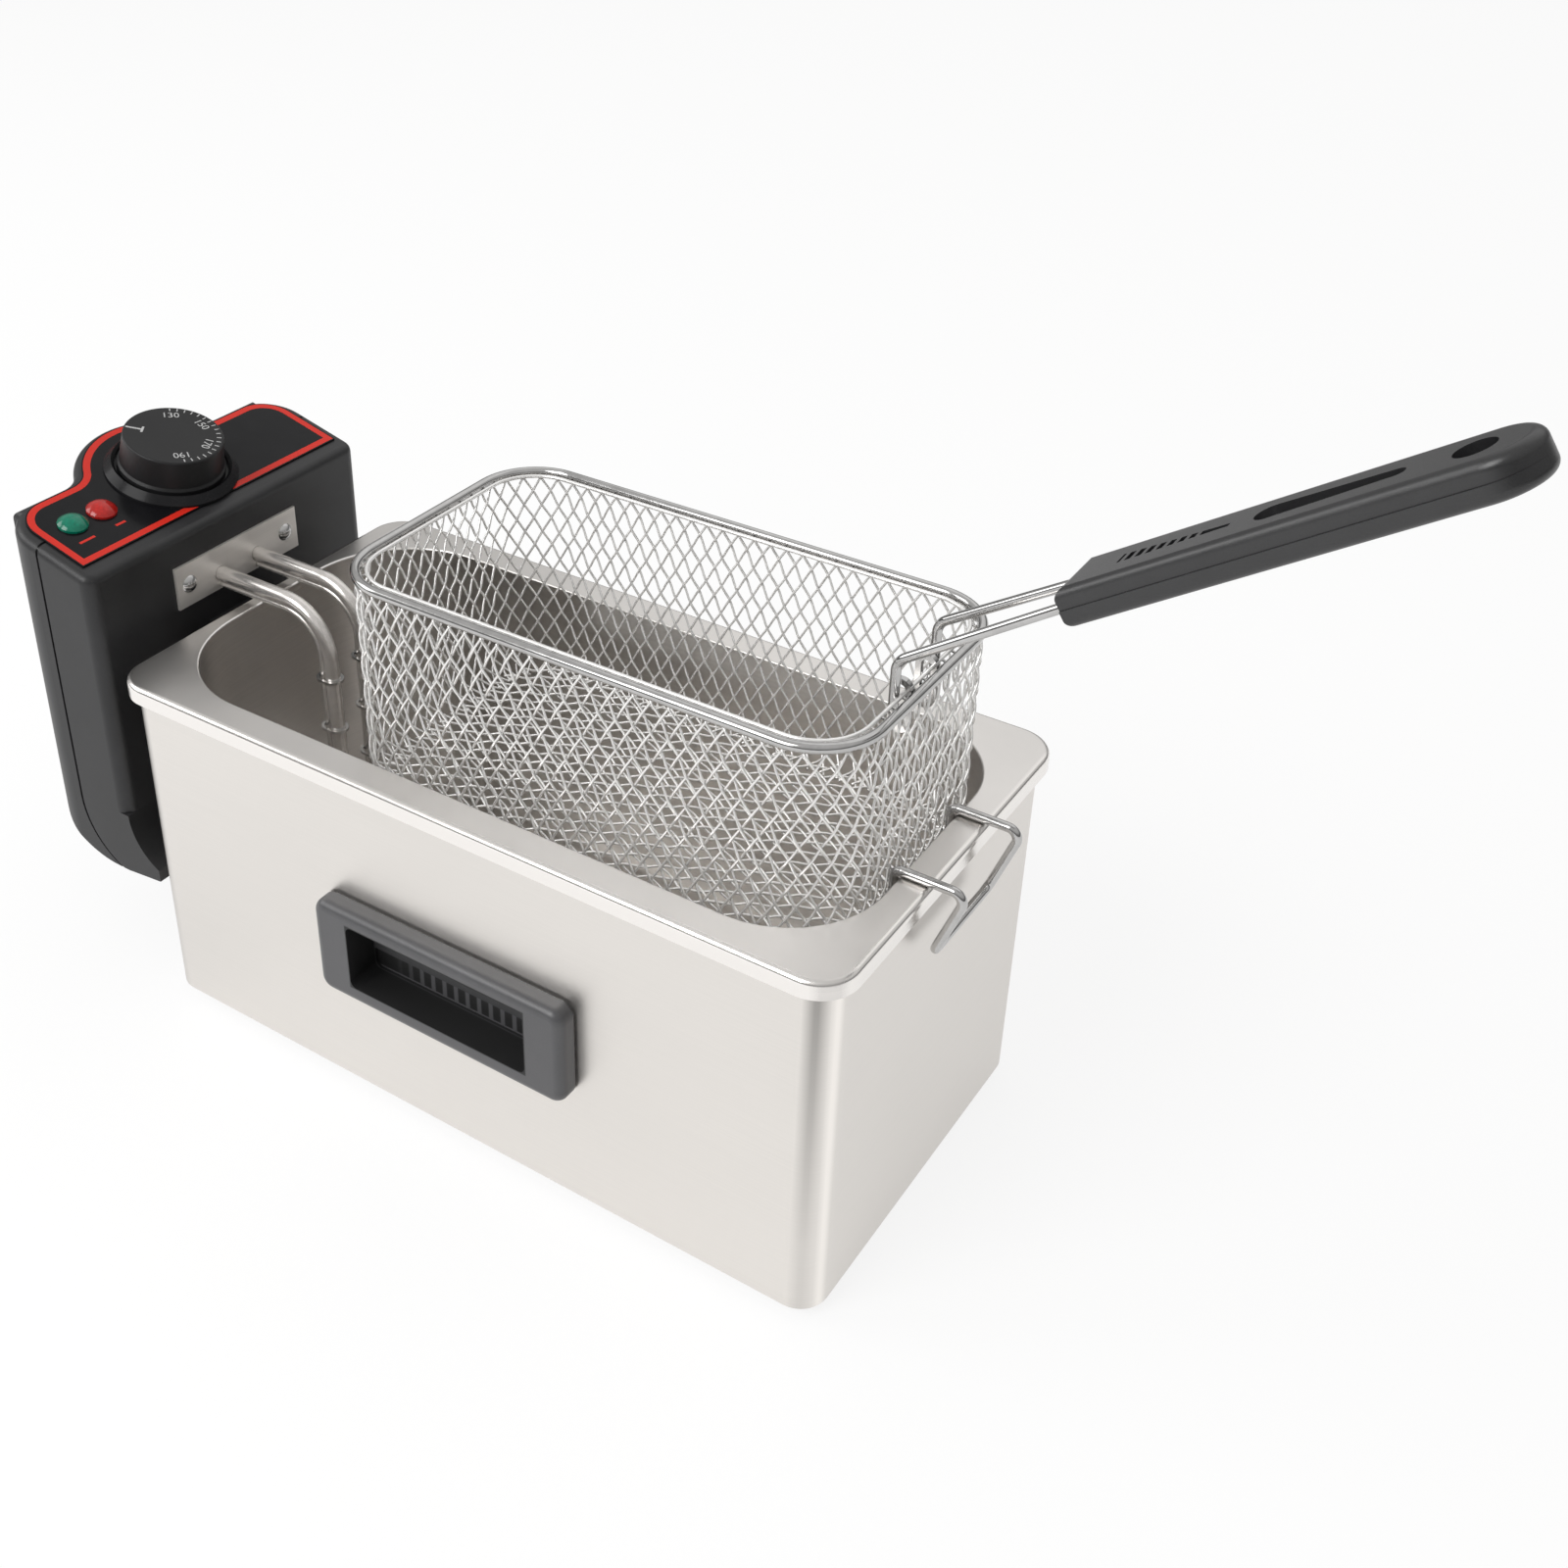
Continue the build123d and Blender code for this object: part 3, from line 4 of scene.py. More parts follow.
import bpy
import numpy as np
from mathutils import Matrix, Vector


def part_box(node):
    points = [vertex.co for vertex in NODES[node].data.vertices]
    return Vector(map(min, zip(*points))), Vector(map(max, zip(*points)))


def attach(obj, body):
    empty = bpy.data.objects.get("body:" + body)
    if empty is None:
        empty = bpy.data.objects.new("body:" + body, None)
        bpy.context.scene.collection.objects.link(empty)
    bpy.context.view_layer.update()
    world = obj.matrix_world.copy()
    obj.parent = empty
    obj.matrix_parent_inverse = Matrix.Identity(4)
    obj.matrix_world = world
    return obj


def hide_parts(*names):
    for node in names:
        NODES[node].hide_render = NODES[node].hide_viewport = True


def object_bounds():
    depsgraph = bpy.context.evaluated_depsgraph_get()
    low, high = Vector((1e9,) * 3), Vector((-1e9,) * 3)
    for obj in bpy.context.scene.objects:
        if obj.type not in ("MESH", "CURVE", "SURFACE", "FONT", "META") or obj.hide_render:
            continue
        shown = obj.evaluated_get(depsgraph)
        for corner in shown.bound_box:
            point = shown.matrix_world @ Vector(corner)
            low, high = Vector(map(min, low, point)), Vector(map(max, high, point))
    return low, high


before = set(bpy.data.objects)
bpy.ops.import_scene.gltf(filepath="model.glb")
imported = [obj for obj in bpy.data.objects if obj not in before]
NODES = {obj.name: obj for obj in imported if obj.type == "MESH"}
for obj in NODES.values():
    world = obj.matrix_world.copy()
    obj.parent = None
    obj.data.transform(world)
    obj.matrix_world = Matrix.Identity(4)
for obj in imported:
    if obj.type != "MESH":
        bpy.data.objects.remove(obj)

bl_info = {
    "name": "Deep fryer looks",
    "version": (1, 0, 0),
    "blender": (4, 5, 0),
    "location": "View3D > Sidebar > Fryer",
    "description": "Woven basket, panel line, dial marks, finishes and stage of a deep fryer",
    "category": "Object",
}

CAD_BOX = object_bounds()

# Woven basket: points per corner of its outline, per diamond of the wall, round the thin wire and
# along a floor wire, and the sides of the tubes.
CORNER_STEPS = 25
CELL_STEPS = 8
HEM_STEPS = 240
FLOOR_STEPS = 110
NET_SIDES = 5
HEM_SIDES = 8
# A floor line is tested at so many points, and kept where enough of them lie inside the floor.
FLOOR_SAMPLES = 1601
FLOOR_LEAST = 60
# The weave's swing in wire radii, and how far the floor wires stop short, in bend radii.
WEAVE = 0.95
FLOOR_TRIM = 0.6
# Angles at which a wall wire turns in under the rim wire.
RIM_WRAP = np.radians(np.linspace(-90, -165, 7))[1:]

# Dashes beside the lenses: places on the panel, and widths and lengths.
DASH_SPOTS = np.array([[0.0155, -0.0615], [0.0155, -0.0435]])
DASH_SPANS = np.array([[0.0013, 0.0080], [0.0013, 0.0052]])
# Marks on the knob: angles round it, distances in knob radii, and lengths and widths.
TICK_TURNS = np.radians(np.arange(-30, 142, 9.5))
TICK_RADIUS = 0.90
TICK_SPAN = (0.0020, 0.0005)
OFF_TURN = math.radians(214)
OFF_RADII = np.array([0.80, 0.62])
OFF_SPANS = [[0.0068, 0.0010], [0.0010, 0.0042]]
NUMERALS = (("130", 141), ("150", 84), ("170", 27), ("190", -30))
NUMERAL_RADIUS = 0.70
NUMERAL_HEIGHT = 0.0052

# Stage: how white the floor is to the camera and in reflections, and its half width.
FLOOR_SEEN = 0.82
FLOOR_MIRRORED = 0.55
FLOOR_REACH = 14.0
WHITE = (1.0, 1.0, 1.0, 1.0)
# Sky tones by the sine of the elevation, their tint and their strength.
SKY_TONES = ((0.0, 0.20), (0.16, 0.24), (0.42, 0.78), (0.75, 0.92), (1.0, 0.98))
SKY_TINT = (1.0, 0.995, 0.985)
SKY_STRENGTH = 0.72
# Lamps: name, place, aim, side in metres and power in watts.
LAMPS = (
    ("key", (-0.6, -1.9, 1.8), (0.0, 0.0, 0.1), 1.4, 36.0),
    ("fill", (-2.0, -0.9, 1.3), (-0.05, 0.0, 0.1), 1.2, 14.0),
    ("back", (-0.2, 2.0, 2.2), (0.0, 0.0, 0.1), 3.0, 10.0),
)
# Camera: place, direction in degrees, and the picture's focal length, side and middle in pixels.
EYE = (0.3743, -0.4953, 0.5647)
EYE_AZIMUTH = 34.39
EYE_ELEVATION = 30.77
FOCAL_PIXELS = 1906.9
PICTURE_PIXELS = 1600.0
PICTURE_MIDDLE = (661.1, 645.9)
SENSOR = 36.0


def box_of(node):
    """Lowest and highest corner of a CAD node as arrays."""
    low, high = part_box(node)
    return np.array(low), np.array(high)


def length(name, description, default):
    """A size in metres."""
    return bpy.props.FloatProperty(
        name=name, description=description, default=default, unit="LENGTH"
    )


def tint(name, description, default):
    """A colour in linear light."""
    return bpy.props.FloatVectorProperty(
        name=name, description=description, default=default, subtype="COLOR"
    )


class FryerSizes(bpy.types.PropertyGroup):
    """Sizes of the pieces that are added to the solids."""

    net_wire: length("Net wire", "Radius of the basket's woven wire", 0.00052)
    cell_width: length("Cell width", "Width of one diamond of the net", 0.0073)
    cell_height: length("Cell height", "Height of one diamond of the net", 0.0129)
    hem_wire: length("Hem wire", "Radius of the thin wire inside the basket rim", 0.0008)
    hem_inset: length("Hem inset", "Distance of the thin wire inside the rim wire", 0.0044)
    net_bend: length("Net bend", "Radius of the net's rounded bottom edge", 0.008)
    body_corner: length("Body corner", "Radius of the housing's upright corners", 0.012)
    recess_half: bpy.props.FloatVectorProperty(
        name="Recess half",
        description="Half length and half height of the finger recess",
        default=(0.0435, 0.0152),
        size=2,
    )
    recess_height: length("Recess height", "Height of the finger recess's middle", 0.0785)
    rib_face: length("Rib face", "Distance of the recess ribs from the middle plane", 0.0790)
    rib_depth: length("Rib depth", "How far the recess ribs stand off the back wall", 0.0015)
    rib_pitch: length("Rib pitch", "Distance from rib to rib in the recess", 0.0058)
    knob_seat: bpy.props.FloatVectorProperty(
        name="Knob seat",
        description="Point where the knob's axis meets the head",
        default=(-0.219, 0.0, 0.20503),
    )
    knob_top: length("Knob top", "Height of the knob's top above the head", 0.019)
    knob_radius: length("Knob radius", "Radius of the knob's top", 0.0216)
    panel_sheet: length("Panel sheet", "Thickness of the panel plate", 0.0008)
    panel_front: length("Panel front", "Distance from the knob's axis to the front edge", 0.02783)
    panel_back: length("Panel back", "Distance from the knob's axis to the back edge", -0.01597)
    print_height: length("Print height", "Thickness of printed marks", 0.00004)
    panel_slope: bpy.props.FloatProperty(
        name="Panel slope",
        description="Slope of the control panel",
        default=math.radians(14),
        subtype="ANGLE",
    )
    panel_corner: length("Panel corner", "Radius of the panel's rear corners", 0.015)
    panel_bulge: length("Panel bulge", "Radius of the panel behind the knob", 0.038)
    panel_blend: length("Panel blend", "Radius between the bulge and the panel's back", 0.013)
    line_width: length("Line width", "Width of the red line round the panel", 0.0031)
    line_margin: length("Line margin", "Gap from the panel's edge to the red line", 0.0006)


class FryerColours(bpy.types.PropertyGroup):
    """Colours of the finishes, in linear light."""

    body: tint("Body", "Brushed steel of the housing", (0.80, 0.77, 0.735))
    pot: tint("Pot", "Drawn steel of the oil pot", (0.78, 0.755, 0.73))
    chrome: tint("Chrome", "Bright wire", (0.52, 0.515, 0.51))
    net: tint("Net", "Woven wire of the basket", (0.90, 0.89, 0.875))
    element: tint("Element", "Heating tube and plain steel", (0.72, 0.69, 0.66))
    plastic: tint("Plastic", "Black moulded plastic", (0.013, 0.013, 0.0138))
    panel: tint("Panel", "Gloss of the panel plate", (0.006, 0.006, 0.007))
    bezel: tint("Bezel", "Gloss of the ring round the knob", (0.012, 0.012, 0.013))
    cream: tint("Cream", "Plastic of the pieces inside the head", (0.45, 0.42, 0.36))
    feet: tint("Feet", "Rubber of the feet", (0.03, 0.03, 0.03))
    gland: tint("Gland", "Rubber of the cord gland", (0.02, 0.02, 0.02))
    line: tint("Line", "Printed line round the panel", (0.62, 0.024, 0.013))
    green: tint("Green", "Green pilot lens", (0.0, 0.25, 0.15))
    red: tint("Red", "Red pilot lens and reset button", (0.62, 0.02, 0.015))
    marks: tint("Marks", "Printed marks on the knob", (0.5, 0.5, 0.5))


class Sock:
    """A shader socket that takes part in arithmetic; each operator adds one Math node."""

    def __init__(self, finish, socket):
        self.finish = finish
        self.socket = socket

    def maths(self, operation, first, second):
        return self.finish.node("ShaderNodeMath", {"operation": operation}, {0: first, 1: second})

    def __add__(self, other):
        return self.maths("ADD", self, other)

    __radd__ = __add__

    def __sub__(self, other):
        return self.maths("SUBTRACT", self, other)

    def __rsub__(self, other):
        return self.maths("SUBTRACT", other, self)

    def __mul__(self, other):
        return self.maths("MULTIPLY", self, other)

    __rmul__ = __mul__

    def __truediv__(self, other):
        return self.maths("DIVIDE", self, other)


class Nodes:
    """A node tree and one way to add nodes to it."""

    def __init__(self, tree):
        self.tree = tree

    def node(self, kind, settings=None, sockets=None, output=0):
        """Adds a node of a type, sets its settings, then fills or links its sockets."""
        made = self.tree.nodes.new(kind)
        for key, value in (settings or {}).items():
            if key == "stops":
                while len(made.color_ramp.elements) < len(value):
                    made.color_ramp.elements.new(0.5)
                for stop, (place, colour) in zip(made.color_ramp.elements, value):
                    stop.position = place
                    stop.color = (*colour, 1.0)
            else:
                setattr(made, key, value)
        for key, value in (sockets or {}).items():
            if isinstance(value, Sock):
                self.tree.links.new(value.socket, made.inputs[key])
            else:
                made.inputs[key].default_value = value
        return Sock(self, made.outputs[output])

    def blend(self, factor, first, second, output):
        """Shows the second shader over the first by a factor, at an output node."""
        both = self.node("ShaderNodeMixShader", None, {0: factor, 1: first, 2: second})
        self.tree.links.new(both.socket, self.tree.nodes[output].inputs["Surface"])


class Finish(Nodes):
    """One material: a Principled shader with fixed values and the nodes that feed it."""

    def __init__(self, name, **fixed):
        self.material = bpy.data.materials.new(name)
        self.material.use_nodes = True
        super().__init__(self.material.node_tree)
        self.shader = self.tree.nodes["Principled BSDF"]
        for key, value in fixed.items():
            socket = key.replace("_", " ").title().replace("Ior", "IOR")
            self.shader.inputs[socket].default_value = value

    def feed(self, name, value):
        """Links a value into the shader."""
        self.tree.links.new(value.socket, self.shader.inputs[name])

    def place(self, scale):
        """Object coordinates times a scale, one for all axes or one per axis."""
        where = self.node("ShaderNodeTexCoord", output="Object")
        scale = np.broadcast_to(scale, 3).tolist()
        return self.node("ShaderNodeMapping", None, {"Vector": where, "Scale": scale})

    def noise(self, scale, detail, rough):
        """Soft noise, in cycles per metre."""
        sockets = {"Vector": self.place(scale), "Scale": 1.0, "Detail": detail, "Roughness": rough}
        return self.node("ShaderNodeTexNoise", None, sockets)

    def mix(self, factor, first, second):
        """Colour between two colours."""
        sockets = {0: factor, 6: first, 7: second}
        return self.node("ShaderNodeMix", {"data_type": "RGBA"}, sockets, 2)

    def axis(self, name):
        """One object coordinate."""
        where = self.node("ShaderNodeTexCoord", output="Object")
        return self.node("ShaderNodeSeparateXYZ", None, {"Vector": where}, name)

    def size(self, value):
        """Value without its sign."""
        return self.node("ShaderNodeMath", {"operation": "ABSOLUTE"}, {0: value})

    def most(self, first, second):
        """Larger of two values."""
        return self.node("ShaderNodeMath", {"operation": "MAXIMUM"}, {0: first, 1: second})

    def ramp(self, value, low, high):
        """Value moved from low-high to 0-1, clamped."""
        sockets = {0: value, 1: low, 2: high, 3: 0.0, 4: 1.0}
        return self.node("ShaderNodeMapRange", {"clamp": True}, sockets)

    def bump(self, height, strength, distance):
        """Bump of the surface from a height."""
        sockets = {"Height": height, "Strength": strength, "Distance": distance}
        self.feed("Normal", self.node("ShaderNodeBump", None, sockets))


def shade(colour, share):
    """Colour made lighter or darker, as a node value."""
    return (*[min(1.0, c * share) for c in colour], 1.0)


def brushed_steel(name, colour, rough, across, metal=1.0):
    """Metal with fine brush lines along Y: noise stretched along Y and tight across it."""
    stretch, lines, wash = 260.0, 0.10, 0.05
    scale = np.array([across, across / stretch, across])
    finish = Finish(name, metallic=metal)
    fine = finish.noise(scale, 3.0, 0.6)
    coarse = finish.noise(scale / 6.0, 2.0, 0.5)
    cloud = finish.noise(9.0, 3.0, 0.55)
    streak = fine * 0.6 + coarse * 0.4
    tone = finish.ramp(streak * 0.75 + cloud * 0.25, 0.32, 0.68)
    dark, light = shade(colour, 1.0 - lines), shade(colour, 1.0 + lines * 0.5)
    finish.feed("Base Color", finish.mix(tone, dark, light))
    finish.feed("Roughness", streak * (2.0 * wash) + cloud * wash + (rough - 1.5 * wash))
    finish.bump(fine, 0.10, 0.00004)
    return finish.material


def housing_steel(name, colour, rough, hub, low, high):
    """Brushed wrapper: faint level brush lines, a painted dark and a painted bright reflection
    band at each upright corner.

    The painted reflection bands follow the angle round the corner from the long wall to the end
    wall, and the dark one fades downwards."""
    dark_reflection_turn, dark_reflection_far, dark_reflection_near = 0.52, 0.42, 0.06
    bright_reflection_turn, bright_reflection_far, bright_reflection_near = 1.18, 0.26, 0.05
    finish = Finish(name, metallic=1.0)
    fine = finish.noise((10.0, 10.0, 2600.0), 3.0, 0.6)
    cloud = finish.noise((7.0, 7.0, 9.0), 3.0, 0.55)
    tone = finish.ramp(fine * 0.55 + cloud * 0.45, 0.3, 0.7)
    plain = finish.mix(tone, shade(colour, 0.965), shade(colour, 1.02))
    past_x, past_y = (
        finish.most(finish.size(finish.axis(k)) - far, 0.0) for k, far in zip("XY", hub)
    )
    turn = finish.node("ShaderNodeMath", {"operation": "ARCTAN2"}, {0: past_x, 1: past_y})
    # Painted dark reflection: a band round each upright corner, weaker lower down.
    fade = finish.ramp(finish.axis("Z"), low, high) * 0.55 + 0.20
    dark = finish.ramp(finish.size(turn - dark_reflection_turn), dark_reflection_far, dark_reflection_near) * fade
    # Painted bright reflection: a band further round each upright corner.
    light = finish.ramp(finish.size(turn - bright_reflection_turn), bright_reflection_far, bright_reflection_near)
    bright = finish.mix(light, plain, shade(colour, 1.2))
    finish.feed("Base Color", finish.mix(dark, bright, shade(colour, 0.30)))
    finish.feed("Roughness", fine * 0.08 + cloud * 0.05 + (rough - 0.06))
    finish.bump(fine, 0.06, 0.00003)
    return finish.material


def drawn_steel(name, colour, rough, lip):
    """Satin metal with soft blotches and faint drawing marks; its turned-down lip is polished,
    with a painted highlight that lightens its colour.
    """
    lip_start, lip_full = 0.0026, 0.0008
    finish = Finish(name, metallic=1.0)
    rings = finish.noise((6.0, 6.0, 900.0), 3.0, 0.6)
    cloud = finish.noise((14.0, 14.0, 10.0), 4.0, 0.6)
    tone = finish.ramp(rings * 0.5 + cloud * 0.5, 0.3, 0.7)
    satin = finish.mix(tone, shade(colour, 0.88), shade(colour, 1.06))
    ends, sides = (
        finish.ramp(finish.size(finish.axis(k)), far - lip_start, far - lip_full)
        for k, far in zip("XY", lip)
    )
    edge = finish.most(ends, sides)
    # The lip's lighter colour is a painted highlight; its lower roughness is real polish.
    finish.feed("Base Color", finish.mix(edge, satin, shade(colour, 1.16)))
    finish.feed("Roughness", rings * 0.10 + cloud * 0.08 + (rough - 0.09) - edge * 0.10)
    finish.bump(rings, 0.08, 0.00005)
    return finish.material


def bright_wire(name, colour, rough, metal=1.0):
    """Plated wire: nearly clean metal with slight haze and fine pits."""
    finish = Finish(name, metallic=metal)
    haze = finish.noise(160.0, 3.0, 0.6)
    pits = finish.noise(2400.0, 2.0, 0.5)
    tone = finish.ramp(haze, 0.3, 0.7)
    finish.feed("Base Color", finish.mix(tone, shade(colour, 0.90), shade(colour, 1.05)))
    finish.feed("Roughness", haze * 0.12 + (rough - 0.06))
    finish.bump(pits, 0.06, 0.00002)
    return finish.material


def plastic_grain(finish, grain, depth, rough):
    """Pebbles in the normal; returns the tone of rubbed patches and the roughness."""
    pebble = finish.noise(grain, 2.0, 0.55)
    rub = finish.noise(28.0, 4.0, 0.6)
    finish.bump(pebble, 0.35, depth)
    tone = finish.ramp(pebble * 0.4 + rub * 0.6, 0.3, 0.72)
    return tone, pebble * 0.14 + rub * 0.10 + (rough - 0.12)


def moulded_plastic(name, colour, rough, grain=2600.0, depth=0.00005, lift=1.9, shine=0.3):
    """Moulded plastic: fine pebbled grain in normal and roughness, with faint rubbed patches."""
    finish = Finish(name, specular_ior_level=shine)
    tone, roughness = plastic_grain(finish, grain, depth, rough)
    finish.feed("Base Color", finish.mix(tone, shade(colour, 0.82), shade(colour, lift)))
    finish.feed("Roughness", roughness)
    return finish.material


def recessed_plastic(name, colour, rough, sizes):
    """Moulded plastic, nearly black inside the finger recess by painted shade.

    The ribs there get less painted shade; painted highlight stripes carry them down the back wall,
    and a painted highlight line marks the wall's foot. The stripes fade out towards the head."""
    edge_far, edge_near = 0.0008, 0.0002
    skin_far, skin_near = 0.0004, 0.0001
    foot_highlight_far, foot_highlight_near = 0.0008, 0.0003
    stripe_far, stripe_near = 0.22, 0.14
    fade_start, fade_end = -0.034, -0.018
    half_length, half_height = sizes.recess_half
    finish = Finish(name, specular_ior_level=0.6)
    tone, roughness = plastic_grain(finish, 2200.0, 0.00005, rough)
    face = finish.mix(tone, shade(colour, 0.85), shade(colour, 1.25))
    # Painted shade: the inside of the recess is nearly black.
    deep = finish.mix(tone, shade(colour, 0.05), shade(colour, 0.09))
    along, depth = finish.axis("X"), finish.size(finish.axis("Y"))
    height = finish.axis("Z") - sizes.recess_height
    inside = finish.ramp(
        finish.size(along), half_length + edge_far, half_length + edge_near
    ) * finish.ramp(finish.size(height), half_height + edge_far, half_height + edge_near)
    rib = finish.ramp(finish.size(depth - sizes.rib_face), skin_far, skin_near)
    behind = sizes.rib_face - sizes.rib_depth
    wall = finish.ramp(finish.size(depth - behind), skin_far, skin_near)
    # Painted highlight stripes down the back wall, in line with the ribs, fading out towards the
    # head.
    turn = finish.node("ShaderNodeMath", {"operation": "FRACT"}, {0: along / sizes.rib_pitch})
    painted_rib_highlight = finish.ramp(finish.size(turn - 0.5), stripe_far, stripe_near)
    painted_rib_highlight = painted_rib_highlight * finish.ramp(along, fade_start, fade_end)
    # Painted highlight line along the foot of the back wall.
    foot = finish.ramp(height + half_height, foot_highlight_far, foot_highlight_near)
    # Ribs in lighter painted shade; stripes and foot line lighter still.
    ribs_in_painted_shade = finish.mix(rib, deep, shade(colour, 0.55))
    dark = finish.mix(wall * finish.most(painted_rib_highlight, foot), ribs_in_painted_shade, shade(colour, 1.1))
    finish.feed("Base Color", finish.mix(inside, face, dark))
    finish.feed("Roughness", roughness + inside * 0.25)
    return finish.material


def gloss_plastic(name, colour, rough):
    """Polished dark plastic with a thin clear coat and a little dust in its roughness."""
    finish = Finish(name, specular_ior_level=0.10, coat_roughness=0.08)
    dust = finish.noise(90.0, 5.0, 0.65)
    wave = finish.noise(35.0, 1.0, 0.5)
    finish.feed("Base Color", finish.mix(dust, shade(colour, 0.7), shade(colour, 1.5)))
    finish.feed("Roughness", dust * 0.14 + (rough - 0.07))
    finish.feed("Coat Weight", dust * 0.06 + 0.02)
    finish.bump(wave, 0.03, 0.0002)
    return finish.material


def printed(name, colour, rough):
    """Printed paint: even colour with a slight speckle."""
    finish = Finish(name, specular_ior_level=0.2)
    speckle = finish.noise(1800.0, 2.0, 0.5)
    finish.feed("Base Color", finish.mix(speckle, shade(colour, 0.9), shade(colour, 1.08)))
    finish.feed("Roughness", speckle * 0.1 + (rough - 0.05))
    return finish.material


def soft_rubber(name, colour):
    """Matt rubber with a fine grain."""
    finish = Finish(name, specular_ior_level=0.3)
    grain = finish.noise(1500.0, 3.0, 0.6)
    finish.feed("Base Color", finish.mix(grain, shade(colour, 0.7), shade(colour, 1.5)))
    finish.feed("Roughness", grain * 0.15 + 0.7)
    finish.bump(grain, 0.2, 0.00006)
    return finish.material


def pilot_lens(name, colour):
    """Tinted lens with painted light: lighter in the middle of its dome, painted shade at its rim,
    with faint inner facets.

    The material has the name of the lens it is for."""
    rim, middle, waver = 0.0095, 0.0055, 0.0012
    finish = Finish(
        name,
        roughness=0.12,
        specular_ior_level=0.35,
        coat_weight=0.25,
        coat_roughness=0.03,
        ior=1.49,
    )
    low, high = box_of(name)
    spot = tuple((low + high) / 2)
    where = finish.node("ShaderNodeTexCoord", output="Object")
    away = finish.node(
        "ShaderNodeVectorMath", {"operation": "DISTANCE"}, {0: where, 1: spot}, "Value"
    )
    sockets = {"Vector": finish.place(700.0), "Scale": 1.0}
    facets = finish.node("ShaderNodeTexVoronoi", {"feature": "F1"}, sockets)
    # Painted light: lighter in the middle of the dome, painted shade towards its rim, facets
    # wavering the edge between them.
    painted_dome_light = finish.ramp(away + facets * waver, rim, middle)
    finish.feed("Base Color", finish.mix(painted_dome_light, shade(colour, 0.28), shade(colour, 1.15)))
    return finish.material


def new_mesh(name, points, faces, smooth=True):
    """Mesh object at the origin from an array of points and a list of faces."""
    mesh = bpy.data.meshes.new(name)
    mesh.from_pydata(points.reshape(-1, 3).tolist(), [], faces)
    mesh.update()
    if smooth:
        mesh.shade_smooth()
    made = bpy.data.objects.new(name, mesh)
    bpy.context.scene.collection.objects.link(made)
    return made


def tube_points(paths, normals, radius, sides, closed):
    """Rings round each path: centre + radius * (cos a * normal + sin a * (tangent x normal)).

    paths is (wires, steps, 3); normals is a direction that is never along the path."""
    if closed:
        tangent = np.roll(paths, -1, 1) - np.roll(paths, 1, 1)
    else:
        tangent = np.gradient(paths, axis=1)
    tangent /= np.linalg.norm(tangent, axis=-1, keepdims=True)
    first = normals - np.sum(normals * tangent, -1, keepdims=True) * tangent
    first /= np.linalg.norm(first, axis=-1, keepdims=True)
    second = np.cross(tangent, first)
    angle = np.linspace(0, 2 * math.pi, sides, endpoint=False)[:, None]
    around = np.cos(angle) * first[:, :, None, :] + np.sin(angle) * second[:, :, None, :]
    return paths[:, :, None, :] + radius * around


def tube_faces(wires, steps, sides, closed):
    """Quads between neighbouring rings; an open wire also gets a cap at each end."""
    last = steps if closed else steps - 1
    wire, step, side = np.meshgrid(
        np.arange(wires), np.arange(last), np.arange(sides), indexing="ij"
    )
    here = (wire * steps + step) * sides
    there = (wire * steps + (step + 1) % steps) * sides
    turn = (side + 1) % sides
    quads = np.stack([here + side, here + turn, there + turn, there + side], -1)
    quads = quads.reshape(-1, 4).tolist()
    if closed:
        return quads
    start = np.arange(wires)[:, None] * steps * sides
    low_caps = start + np.arange(sides)[::-1]
    high_caps = start + (steps - 1) * sides + np.arange(sides)
    return quads + low_caps.tolist() + high_caps.tolist()


def tubes(name, paths, normals, radius, sides, closed=False):
    """One object with a tube along every path."""
    points = tube_points(paths, normals, radius, sides, closed)
    return new_mesh(name, points, tube_faces(paths.shape[0], paths.shape[1], sides, closed))


def dress(material, *nodes):
    """Gives CAD nodes a finish."""
    for node in nodes:
        slots = NODES[node].data.materials
        slots.clear()
        slots.append(material)


def finish_piece(piece, material, body, slot, *replaced):
    """Gives a new piece its finish and body, and hides the nodes it stands for; the slot is not
    used.
    """
    piece.data.materials.append(material)
    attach(piece, body)
    if replaced:
        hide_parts(*replaced)


class BasketOutline:
    """Rounded rectangle of the basket wall, read by distance along it."""

    def __init__(self):
        low, high = box_of("basket_rim_wire")
        self.rim_radius = (high[2] - low[2]) / 2
        self.rim_z = (high[2] + low[2]) / 2
        self.low = low[:2] + self.rim_radius
        self.high = high[:2] - self.rim_radius
        self.floor_low = box_of("basket_floor_net")[0][2]
        self.corner = box_of("basket_front_net")[0][0] - self.low[0]
        quarter = np.linspace(0, math.pi / 2, CORNER_STEPS)
        angle = np.concatenate([quarter + turn * math.pi / 2 for turn in range(4)])
        near, far = self.low + self.corner, self.high - self.corner
        hubs = np.array([far, [near[0], far[1]], near, [far[0], near[1]]])
        normal = np.stack([np.cos(angle), np.sin(angle)], -1)
        place = np.repeat(hubs, CORNER_STEPS, axis=0) + self.corner * normal
        self.place = np.concatenate([place, place[:1]])
        self.normal = np.concatenate([normal, normal[:1]])
        steps = np.linalg.norm(np.diff(self.place, axis=0), axis=1)
        self.distance = np.r_[0, np.cumsum(steps)]
        self.length = self.distance[-1]

    def at(self, along):
        """Point and outward normal at a distance along the outline."""
        along = np.mod(along, self.length)
        point = [np.interp(along, self.distance, self.place[:, k]) for k in range(2)]
        normal = [np.interp(along, self.distance, self.normal[:, k]) for k in range(2)]
        return np.stack(point, -1), np.stack(normal, -1)


